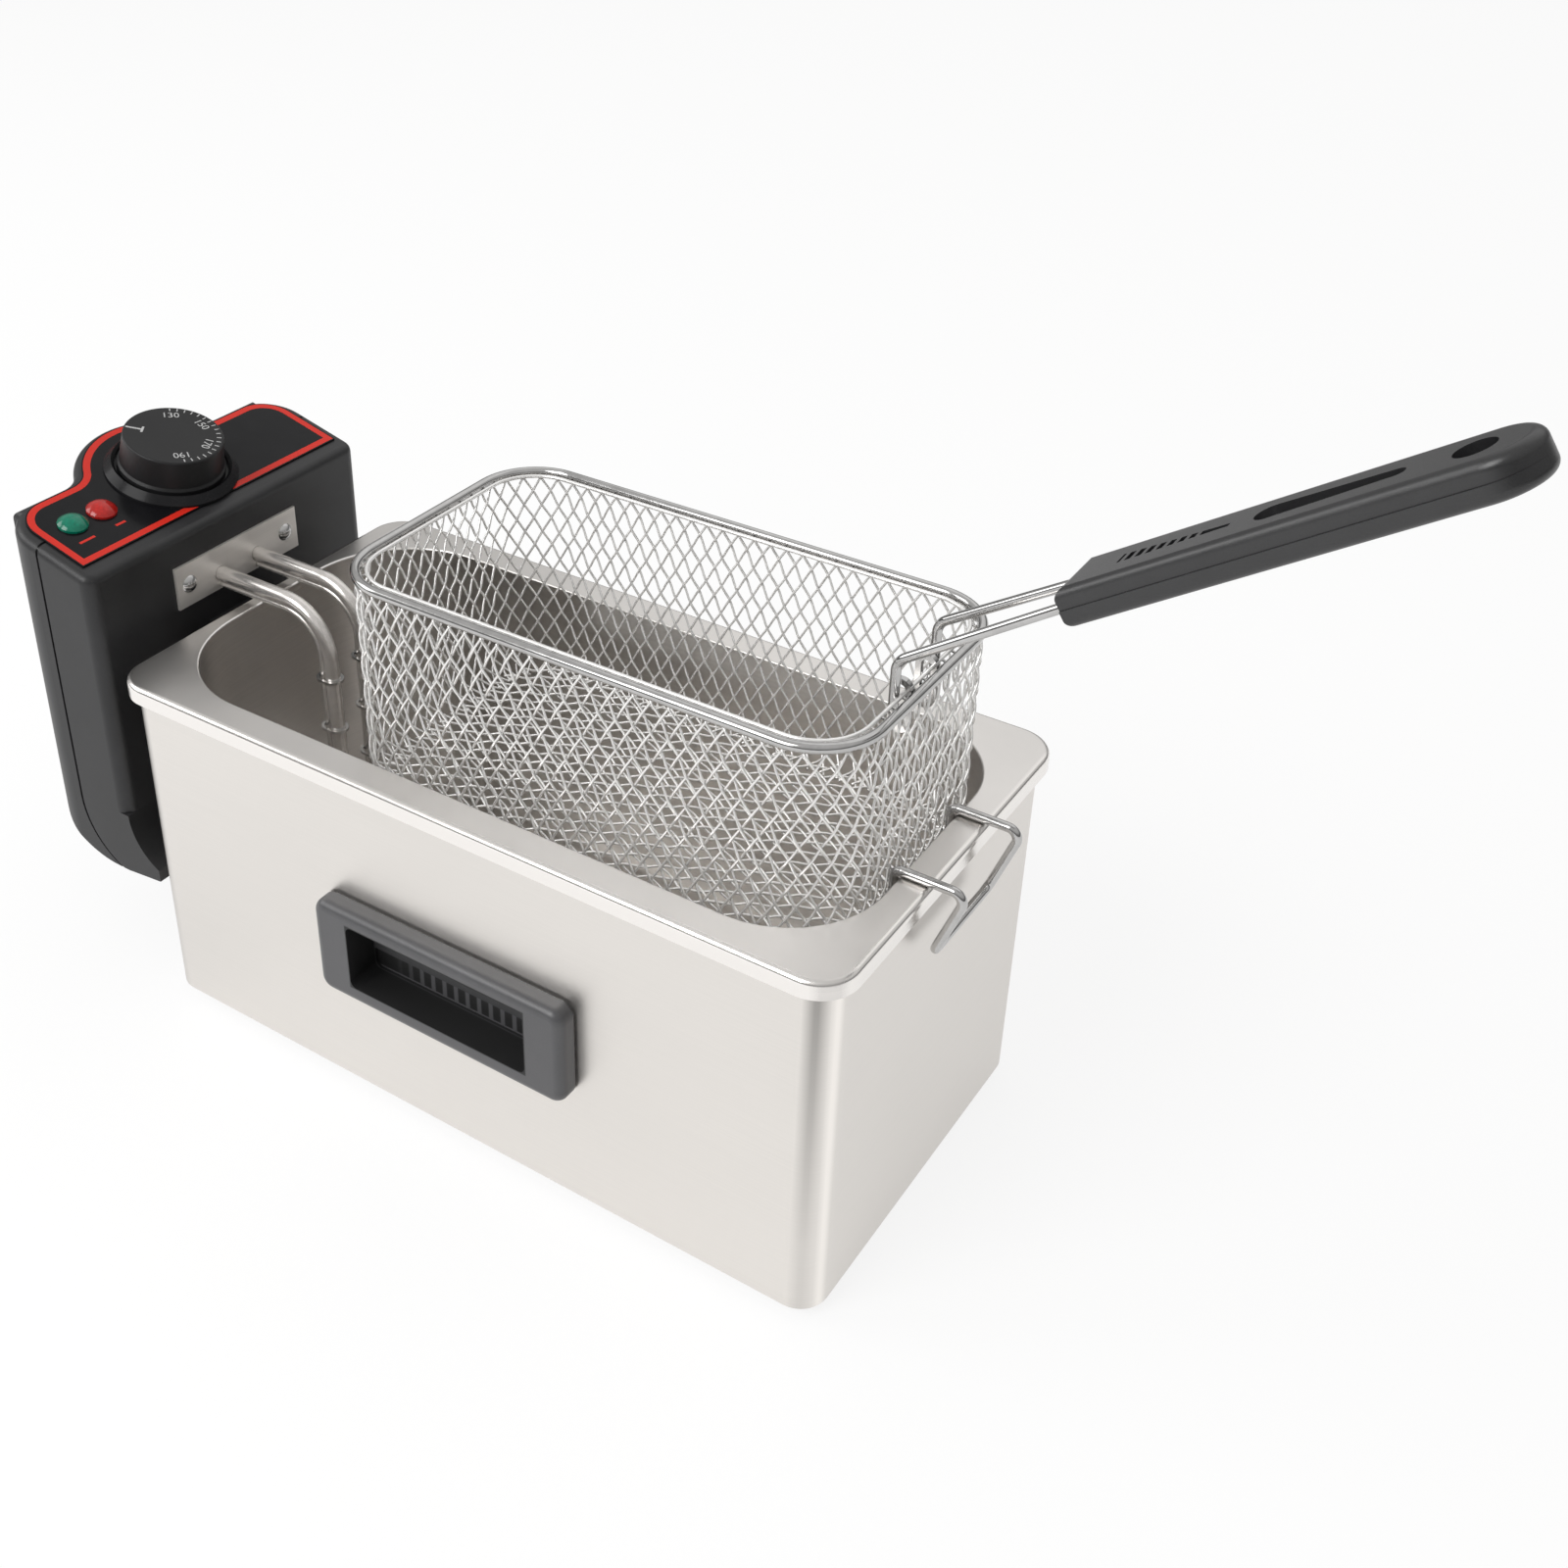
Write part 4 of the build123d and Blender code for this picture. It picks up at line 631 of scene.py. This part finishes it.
def wall_wires(outline, sizes, lean):
    """Paths of one set of wall wires.

    Each wire starts on the floor, rounds the bottom edge as a quarter circle, climbs the wall
    with a constant lean, weaves as the cosine of the distance along it, and turns in under the
    rim to the thin wire inside it."""
    wire = sizes.net_wire
    bend = sizes.net_bend
    wrap = outline.rim_radius + wire
    foot = outline.floor_low + 2 * wire
    quarter = bend * math.pi / 2
    reach = quarter + outline.rim_z - wrap - foot - bend
    rows = round(2 * reach / sizes.cell_height)
    cell = 2 * reach / rows
    count = round(outline.length / sizes.cell_width)
    pitch = outline.length / count
    run = np.arange(-1, CELL_STEPS // 2 * rows + 1) * cell / CELL_STEPS
    angle = np.clip(run / bend, 0, math.pi / 2)
    cos, sin = np.cos(angle), np.sin(angle)
    weave = WEAVE * wire * np.cos(2 * math.pi * run / cell) * lean
    out = bend * (sin - 1) + np.minimum(run, 0) + weave * sin
    tall = foot + bend * (1 - cos) + np.maximum(run - quarter, 0) - weave * cos
    slip = lean * run * pitch / cell
    out = np.concatenate([out, wrap * np.cos(RIM_WRAP), [-sizes.hem_inset]])
    tall = np.concatenate([tall, outline.rim_z + wrap * np.sin(RIM_WRAP), [outline.rim_z]])
    shift = np.concatenate([slip, np.full(RIM_WRAP.size + 1, slip[-1])])
    along = np.arange(count)[:, None] * pitch + shift
    point, normal = outline.at(along)
    flat = point + out[None, :, None] * normal
    rise = np.broadcast_to(tall[None, :, None], (*flat.shape[:2], 1))
    path = np.concatenate([flat, rise], -1)
    aside = np.stack([-normal[..., 1], normal[..., 0], 0 * normal[..., 0]], -1)
    return path, aside


def hem_wire(outline, sizes):
    """Closed path of the thin wire: the basket's outline moved inwards at the rim's height."""
    along = np.linspace(0, outline.length, HEM_STEPS, endpoint=False)[None, :]
    point, normal = outline.at(along)
    flat = point - sizes.hem_inset * normal
    path = np.concatenate([flat, np.full((1, HEM_STEPS, 1), outline.rim_z)], -1)
    return path, np.broadcast_to(np.array([0.0, 0.0, 1.0]), path.shape)


def floor_wires(outline, sizes, lean):
    """Paths of one set of floor wires: slanting lines cut to the rounded floor.

    Each weaves as the cosine of its distance along the basket."""
    trim = FLOOR_TRIM * sizes.net_bend
    low, high, corner = outline.low + trim, outline.high - trim, outline.corner - trim
    pitch, cell = sizes.cell_width, sizes.cell_height
    middle = (low + high) / 2
    half = (high - low) / 2
    heading = np.array([cell, lean * pitch]) / math.hypot(cell, pitch)
    spread = half[1] + half[0] * pitch / cell
    count = int(spread / pitch)
    start = np.arange(-count, count + 1) * pitch
    run = np.linspace(-1, 1, FLOOR_SAMPLES) * half[0] / heading[0]
    spot = np.broadcast_arrays(run * heading[0], start[:, None] + run * heading[1])
    beyond = np.maximum(np.abs(np.stack(spot, -1)) - (half - corner), 0)
    inside = np.hypot(beyond[..., 0], beyond[..., 1]) < corner
    kept = inside.sum(1) > FLOOR_LEAST
    inside, start = inside[kept], start[kept]
    first = run[np.argmax(inside, 1)]
    last = run[run.size - 1 - np.argmax(inside[:, ::-1], 1)]
    share = np.linspace(0, 1, FLOOR_STEPS)
    walk = first[:, None] + (last - first)[:, None] * share
    x = walk * heading[0]
    y = start[:, None] + walk * heading[1]
    weave = WEAVE * sizes.net_wire * np.cos(2 * math.pi * x / cell) * lean
    z = outline.floor_low + 3 * sizes.net_wire + weave
    path = np.stack([middle[0] + x, middle[1] + y, z], -1)
    return path, np.broadcast_to(np.array([0.0, 0.0, 1.0]), path.shape)


class FRYER_OT_basket_net(bpy.types.Operator):
    """Woven wire walls and floor of the basket"""

    bl_idname = "fryer.basket_net"
    bl_label = "Basket net"

    def execute(self, context):
        sizes = context.scene.fryer_sizes
        outline = BasketOutline()
        chrome = bright_wire("net_wire", context.scene.fryer_colours.net, 0.24, metal=0.62)
        walls = self.woven("woven_walls", wall_wires, outline, sizes)
        finish_piece(
            walls,
            chrome,
            "basket",
            "chrome_wire",
            "basket_front_net",
            "basket_rear_net",
            "basket_head_end_net",
            "basket_handle_end_net",
            "basket_corner_nets",
        )
        floor = self.woven("woven_floor", floor_wires, outline, sizes)
        finish_piece(floor, chrome, "basket", "chrome_wire", "basket_floor_net")
        path, normals = hem_wire(outline, sizes)
        hem = tubes("hem_wire", path, normals, sizes.hem_wire, HEM_SIDES, closed=True)
        finish_piece(hem, chrome, "basket", "chrome_wire")
        return {"FINISHED"}

    def woven(self, name, wires, outline, sizes):
        """Two sets of wires that lean opposite ways, as one piece."""
        both = [wires(outline, sizes, lean) for lean in (-1, 1)]
        paths, normals = (np.concatenate([pair[k] for pair in both]) for k in range(2))
        return tubes(name, paths, normals, sizes.net_wire, NET_SIDES)


class FRYER_OT_wires(bpy.types.Operator):
    """Finish of the rim wire, hook, links and handle wire"""

    bl_idname = "fryer.wires"
    bl_label = "Basket wires"

    def execute(self, context):
        chrome = bright_wire("bright_wire", context.scene.fryer_colours.chrome, 0.12)
        dress(chrome, "basket_rim_wire", "basket_hook", "handle_brackets", "handle_wire")
        return {"FINISHED"}


class FRYER_OT_grip(bpy.types.Operator):
    """Finish of the basket grip and its screws"""

    bl_idname = "fryer.grip"
    bl_label = "Basket grip"

    def execute(self, context):
        colours = context.scene.fryer_colours
        black = moulded_plastic("grip_plastic", colours.plastic, 0.34, shine=0.65)
        dress(black, "grip_upper", "grip_lower")
        dress(bright_wire("grip_screw_steel", colours.element, 0.3), "grip_screws")
        return {"FINISHED"}


class FRYER_OT_housing(bpy.types.Operator):
    """Finish of the housing, its base, feet and side handles"""

    bl_idname = "fryer.housing"
    bl_label = "Housing"

    def execute(self, context):
        colours = context.scene.fryer_colours
        sizes = context.scene.fryer_sizes
        high = box_of("outer_housing")[1]
        hub = high[:2] - sizes.body_corner
        # Heights over which the painted dark corner reflection fades.
        fade = 0.2 * high[2], 0.95 * high[2]
        dress(housing_steel("body_steel", colours.body, 0.36, hub, *fade), "outer_housing")
        plain = brushed_steel("plain_steel", colours.element, 0.38, 1500.0)
        dress(plain, "base_plate", "head_rail")
        dress(soft_rubber("foot_rubber", colours.feet), "feet")
        grey = shade(colours.plastic, 5.0)[:3]
        handle = recessed_plastic("handle_plastic", grey, 0.36, sizes)
        dress(handle, "side_handle_front", "side_handle_rear")
        screw = bright_wire("screw_steel", colours.element, 0.3)
        dress(screw, "base_screws", "side_handle_screws", "cover_screws")
        return {"FINISHED"}


class FRYER_OT_pot(bpy.types.Operator):
    """Finish of the oil pot, the heating element and its probes"""

    bl_idname = "fryer.pot"
    bl_label = "Pot and element"

    def execute(self, context):
        colours = context.scene.fryer_colours
        lip = box_of("oil_pot")[1][:2]
        dress(drawn_steel("pot_steel", colours.pot, 0.30, lip), "oil_pot")
        tube = bright_wire("element_steel", colours.element, 0.24, metal=0.8)
        dress(tube, "heating_element", "thermostat_probe", "cutout_probe")
        clip = bright_wire("clip_steel", colours.chrome, 0.2)
        dress(clip, "probe_clips", "element_terminals", "plate_rivets")
        plate = brushed_steel("plate_steel", colours.body, 0.34, 1800.0, metal=0.6)
        dress(plate, "element_plate")
        return {"FINISHED"}


class FRYER_OT_head(bpy.types.Operator):
    """Finish of the control head, knob, lenses and inner pieces"""

    bl_idname = "fryer.head"
    bl_label = "Control head"

    def execute(self, context):
        colours = context.scene.fryer_colours
        light = shade(colours.plastic, 1.2)[:3]
        shell = moulded_plastic("head_plastic", light, 0.42, shine=0.42)
        dress(shell, "head_front_shell", "head_rear_cover")
        dress(gloss_plastic("panel_gloss", colours.panel, 0.22), "panel_plate")
        dress(gloss_plastic("bezel_gloss", colours.bezel, 0.26), "knob_bezel")
        dark = shade(colours.plastic, 0.7)[:3]
        knob = moulded_plastic("knob_plastic", dark, 0.42, grain=3000.0, depth=0.00003)
        dress(knob, "thermostat_knob")
        dress(pilot_lens("green_lens", colours.green), "green_lens")
        dress(pilot_lens("red_lens", colours.red), "red_lens")
        dress(gloss_plastic("reset_red", colours.red, 0.3), "reset_button")
        dress(soft_rubber("gland_rubber", colours.gland), "cord_gland")
        inner = moulded_plastic("inner_plastic", colours.cream, 0.5, lift=1.15)
        dress(inner, "thermostat_body", "thermal_cutout", "terminal_block")
        dress(inner, "interlock_switch", "pilot_lamps")
        dress(bright_wire("shaft_steel", colours.element, 0.3), "thermostat_shaft")
        return {"FINISHED"}


class PanelFrame:
    """Sloping frame of the panel, from the knob's axis: u down the slope, v along +Y, h square."""

    def __init__(self, sizes):
        self.sizes = sizes
        self.origin = np.array(sizes.knob_seat)
        cos, sin = math.cos(sizes.panel_slope), math.sin(sizes.panel_slope)
        self.down = np.array([cos, 0.0, -sin])
        self.aside = np.array([0.0, 1.0, 0.0])
        self.up = np.array([sin, 0.0, cos])
        self.half = box_of("panel_plate")[1][1]

    def place(self, u, v, h):
        """Points of the model at u, v, h, which may be arrays."""
        u, v, h = (part[..., None] for part in np.broadcast_arrays(u, v, h))
        return self.origin + u * self.down + v * self.aside + h * self.up

    def arc(self, centre, radius, start, end, count):
        """Points (u, v) along an arc: centre + radius * (cos a, sin a)."""
        angle = np.linspace(start, end, count)
        return np.array(centre) + radius * np.stack([np.cos(angle), np.sin(angle)], -1)

    def outline(self, inset):
        """Panel edge moved inwards: convex arcs shrink, concave arcs grow, centres stay."""
        sizes = self.sizes
        back, corner = sizes.panel_back, sizes.panel_corner
        bulge, blend = sizes.panel_bulge, sizes.panel_blend
        hub = (back - blend, math.sqrt((bulge + blend) ** 2 - (back - blend) ** 2))
        lean = math.atan2(hub[1], -hub[0])
        front = sizes.panel_front - inset
        rear_hub = (back + corner, self.half - corner)
        half_edge = np.concatenate(
            [
                np.array([[front, 0.0], [front, self.half - inset]]),
                self.arc(rear_hub, corner - inset, math.pi / 2, math.pi, 13),
                self.arc(hub, blend + inset, 0.0, -lean, 11),
                self.arc((0.0, 0.0), bulge - inset, math.pi - lean, math.pi, 17),
            ]
        )
        return np.concatenate([half_edge, half_edge[-2:0:-1] * np.array([1.0, -1.0])])


def panel_line(panel, sizes):
    """Flat strip between two insets of the panel's edge, standing a little above the panel."""
    outer = panel.outline(sizes.line_margin)
    inner = panel.outline(sizes.line_margin + sizes.line_width)
    low = sizes.panel_sheet
    high = low + sizes.print_height
    section = [(outer, high), (outer, low), (inner, low), (inner, high)]
    points = np.stack([panel.place(edge[:, 0], edge[:, 1], level) for edge, level in section], 1)
    return new_mesh("panel_line", points, tube_faces(1, points.shape[0], 4, True), smooth=False)


def bars(panel, spots, turns, spans, low, high):
    """Boxes on the panel: corner signs times half length and width, turned, moved to their spots."""
    signs = np.array([[-1, -1], [1, -1], [1, 1], [-1, 1]]) / 2
    flat = signs[None] * spans[:, None, :]
    cos, sin = np.cos(turns)[:, None], np.sin(turns)[:, None]
    u = spots[:, None, 0] + flat[..., 0] * cos - flat[..., 1] * sin
    v = spots[:, None, 1] + flat[..., 0] * sin + flat[..., 1] * cos
    points = np.concatenate([panel.place(u, v, low), panel.place(u, v, high)], 1)
    sides = np.array(
        [[3, 2, 1, 0], [4, 5, 6, 7], [0, 1, 5, 4], [1, 2, 6, 5], [2, 3, 7, 6], [3, 0, 4, 7]]
    )
    faces = sides + 8 * np.arange(len(spots))[:, None, None]
    return points.reshape(-1, 3), faces.reshape(-1, 4).tolist()


def numeral(panel, text, height, angle, radius, level, thick):
    """Text as a mesh on the knob: its top points outwards at an angle round the knob."""
    curve = bpy.data.curves.new("numeral", "FONT")
    curve.body = text
    curve.size = height
    curve.align_x = "CENTER"
    curve.align_y = "CENTER"
    curve.extrude = thick
    holder = bpy.data.objects.new("numeral", curve)
    bpy.context.scene.collection.objects.link(holder)
    solved = holder.evaluated_get(bpy.context.evaluated_depsgraph_get())
    shape = bpy.data.meshes.new_from_object(solved)
    flat = np.empty(3 * len(shape.vertices))
    shape.vertices.foreach_get("co", flat)
    flat = flat.reshape(-1, 3)
    faces = [list(face.vertices) for face in shape.polygons]
    bpy.data.objects.remove(holder)
    bpy.data.curves.remove(curve)
    bpy.data.meshes.remove(shape)
    cos, sin = math.cos(angle), math.sin(angle)
    u = radius * cos + flat[:, 0] * sin + flat[:, 1] * cos
    v = radius * sin - flat[:, 0] * cos + flat[:, 1] * sin
    return panel.place(u, v, level + flat[:, 2]), faces


class FRYER_OT_prints(bpy.types.Operator):
    """Printed line and dashes on the panel, numerals and ticks on the knob"""

    bl_idname = "fryer.prints"
    bl_label = "Panel prints"

    def execute(self, context):
        sizes = context.scene.fryer_sizes
        colours = context.scene.fryer_colours
        panel = PanelFrame(sizes)
        red = printed("line_red", colours.line, 0.35)
        finish_piece(panel_line(panel, sizes), red, "control_head", "panel_gloss")
        base = sizes.panel_sheet
        high = base + sizes.print_height
        points, faces = bars(panel, DASH_SPOTS, np.zeros(len(DASH_SPOTS)), DASH_SPANS, base, high)
        dashes = new_mesh("lens_dashes", points, faces, smooth=False)
        finish_piece(dashes, red, "control_head", "panel_gloss")
        self.knob(panel, sizes, printed("knob_print", colours.marks, 0.5))
        return {"FINISHED"}

    def knob(self, panel, sizes, paint):
        """Ticks, off mark and numerals on top of the knob."""
        level = sizes.knob_top
        edge = sizes.knob_radius
        thick = sizes.print_height
        ticks = TICK_RADIUS * edge * np.stack([np.cos(TICK_TURNS), np.sin(TICK_TURNS)], -1)
        off = np.array([math.cos(OFF_TURN), math.sin(OFF_TURN)])
        spots = np.concatenate([ticks, OFF_RADII[:, None] * edge * off])
        turns = np.concatenate([TICK_TURNS, np.full(OFF_RADII.size, OFF_TURN)])
        spans = np.concatenate([np.tile(TICK_SPAN, (TICK_TURNS.size, 1)), OFF_SPANS])
        points, faces = bars(panel, spots, turns, spans, level, level + thick)
        marks = new_mesh("knob_ticks", points, faces, smooth=False)
        finish_piece(marks, paint, "thermostat_knob", "knob_plastic")
        for text, angle in NUMERALS:
            turn, radius = math.radians(angle), NUMERAL_RADIUS * edge
            points, faces = numeral(panel, text, NUMERAL_HEIGHT, turn, radius, level, thick)
            mark = new_mesh("numeral_" + text, points, faces, smooth=False)
            finish_piece(mark, paint, "thermostat_knob", "knob_plastic")


class FRYER_OT_stage(bpy.types.Operator):
    """Pale floor, soft studio light and the camera"""

    bl_idname = "fryer.stage"
    bl_label = "Stage"

    def execute(self, context):
        scene = context.scene
        scene.view_settings.view_transform = "Standard"
        self.floor()
        self.world(scene)
        for lamp in LAMPS:
            self.lamp(scene, *lamp)
        self.camera(scene)
        return {"FINISHED"}

    def floor(self):
        """White ground that keeps the object's shadow."""
        signs = np.array([[-1, -1], [1, -1], [1, 1], [-1, 1]])
        corners = np.column_stack([FLOOR_REACH * signs, np.full(4, CAD_BOX[0][2])])
        ground = new_mesh("floor", corners, [(0, 1, 2, 3)], smooth=False)
        finish = Finish("floor_white", roughness=0.9, specular_ior_level=0.1)
        cloud = finish.noise(0.7, 2.0, 0.5)
        dull, pale = shade(WHITE[:3], 0.90), shade(WHITE[:3], 0.93)
        finish.feed("Base Color", finish.mix(cloud, dull, pale))
        seen = finish.node("ShaderNodeLightPath", output="Is Camera Ray") * FLOOR_SEEN
        mirrored = finish.node("ShaderNodeLightPath", output="Is Glossy Ray") * FLOOR_MIRRORED
        white = finish.node("ShaderNodeEmission", None, {"Color": WHITE, "Strength": 1.0})
        surface = Sock(finish, finish.shader.outputs[0])
        finish.blend(finish.most(seen, mirrored), surface, white, "Material Output")
        ground.data.materials.append(finish.material)

    def world(self, scene):
        """Sky that brightens upwards, and is white where the camera sees it."""
        world = bpy.data.worlds.new("studio")
        world.use_nodes = True
        scene.world = world
        sky = Nodes(world.node_tree)
        where = sky.node("ShaderNodeTexCoord", output="Generated")
        height = sky.node("ShaderNodeSeparateXYZ", None, {"Vector": where}, "Z")
        stops = [(place, tuple(tone * c for c in SKY_TINT)) for place, tone in SKY_TONES]
        colour = sky.node("ShaderNodeValToRGB", {"stops": stops}, {"Fac": height})
        back = world.node_tree.nodes["Background"]
        back.inputs["Strength"].default_value = SKY_STRENGTH
        sky.tree.links.new(colour.socket, back.inputs["Color"])
        seen = sky.node("ShaderNodeLightPath", output="Is Camera Ray")
        white = sky.node("ShaderNodeBackground", None, {"Color": WHITE, "Strength": 1.0})
        sky.blend(seen, Sock(sky, back.outputs[0]), white, "World Output")

    def lamp(self, scene, name, place, aim, side, power):
        """Square lamp turned towards its aim."""
        data = bpy.data.lights.new(name, "AREA")
        data.shape = "SQUARE"
        data.size = side
        data.energy = power
        lamp = bpy.data.objects.new(name, data)
        lamp.location = place
        lamp.rotation_euler = (Vector(aim) - Vector(place)).to_track_quat("-Z", "Y").to_euler()
        scene.collection.objects.link(lamp)

    def camera(self, scene):
        """Camera of the photograph."""
        azimuth, elevation = math.radians(EYE_AZIMUTH), math.radians(EYE_ELEVATION)
        level = math.cos(elevation)
        ahead = -Vector(
            (math.sin(azimuth) * level, -math.cos(azimuth) * level, math.sin(elevation))
        )
        data = bpy.data.cameras.new("camera")
        data.sensor_width = SENSOR
        data.lens = FOCAL_PIXELS / PICTURE_PIXELS * SENSOR
        data.shift_x = (PICTURE_PIXELS / 2 - PICTURE_MIDDLE[0]) / PICTURE_PIXELS
        data.shift_y = -(PICTURE_PIXELS / 2 - PICTURE_MIDDLE[1]) / PICTURE_PIXELS
        data.clip_start = 0.01
        camera = bpy.data.objects.new("camera", data)
        camera.location = EYE
        camera.rotation_euler = ahead.to_track_quat("-Z", "Y").to_euler()
        scene.collection.objects.link(camera)
        scene.camera = camera


OPERATORS = (
    FRYER_OT_basket_net,
    FRYER_OT_wires,
    FRYER_OT_grip,
    FRYER_OT_housing,
    FRYER_OT_pot,
    FRYER_OT_head,
    FRYER_OT_prints,
    FRYER_OT_stage,
)


class FRYER_PT_panel(bpy.types.Panel):
    """Lists the fryer's sizes, colours and pieces in the sidebar."""

    bl_idname = "FRYER_PT_panel"
    bl_label = "Deep fryer"
    bl_space_type = "VIEW_3D"
    bl_region_type = "UI"
    bl_category = "Fryer"

    def draw(self, context):
        for group in (context.scene.fryer_sizes, context.scene.fryer_colours):
            for key in group.__annotations__:
                self.layout.prop(group, key)
        for operator in OPERATORS:
            self.layout.operator(operator.bl_idname)


CLASSES = (FryerSizes, FryerColours, *OPERATORS, FRYER_PT_panel)


def register():
    for cls in CLASSES:
        bpy.utils.register_class(cls)
    bpy.types.Scene.fryer_sizes = bpy.props.PointerProperty(type=FryerSizes)
    bpy.types.Scene.fryer_colours = bpy.props.PointerProperty(type=FryerColours)


def unregister():
    del bpy.types.Scene.fryer_colours
    del bpy.types.Scene.fryer_sizes
    for cls in reversed(CLASSES):
        bpy.utils.unregister_class(cls)


def main():
    register()
    for operator in OPERATORS:
        group, name = operator.bl_idname.split(".")
        getattr(getattr(bpy.ops, group), name)()


if __name__ == "__main__":
    main()
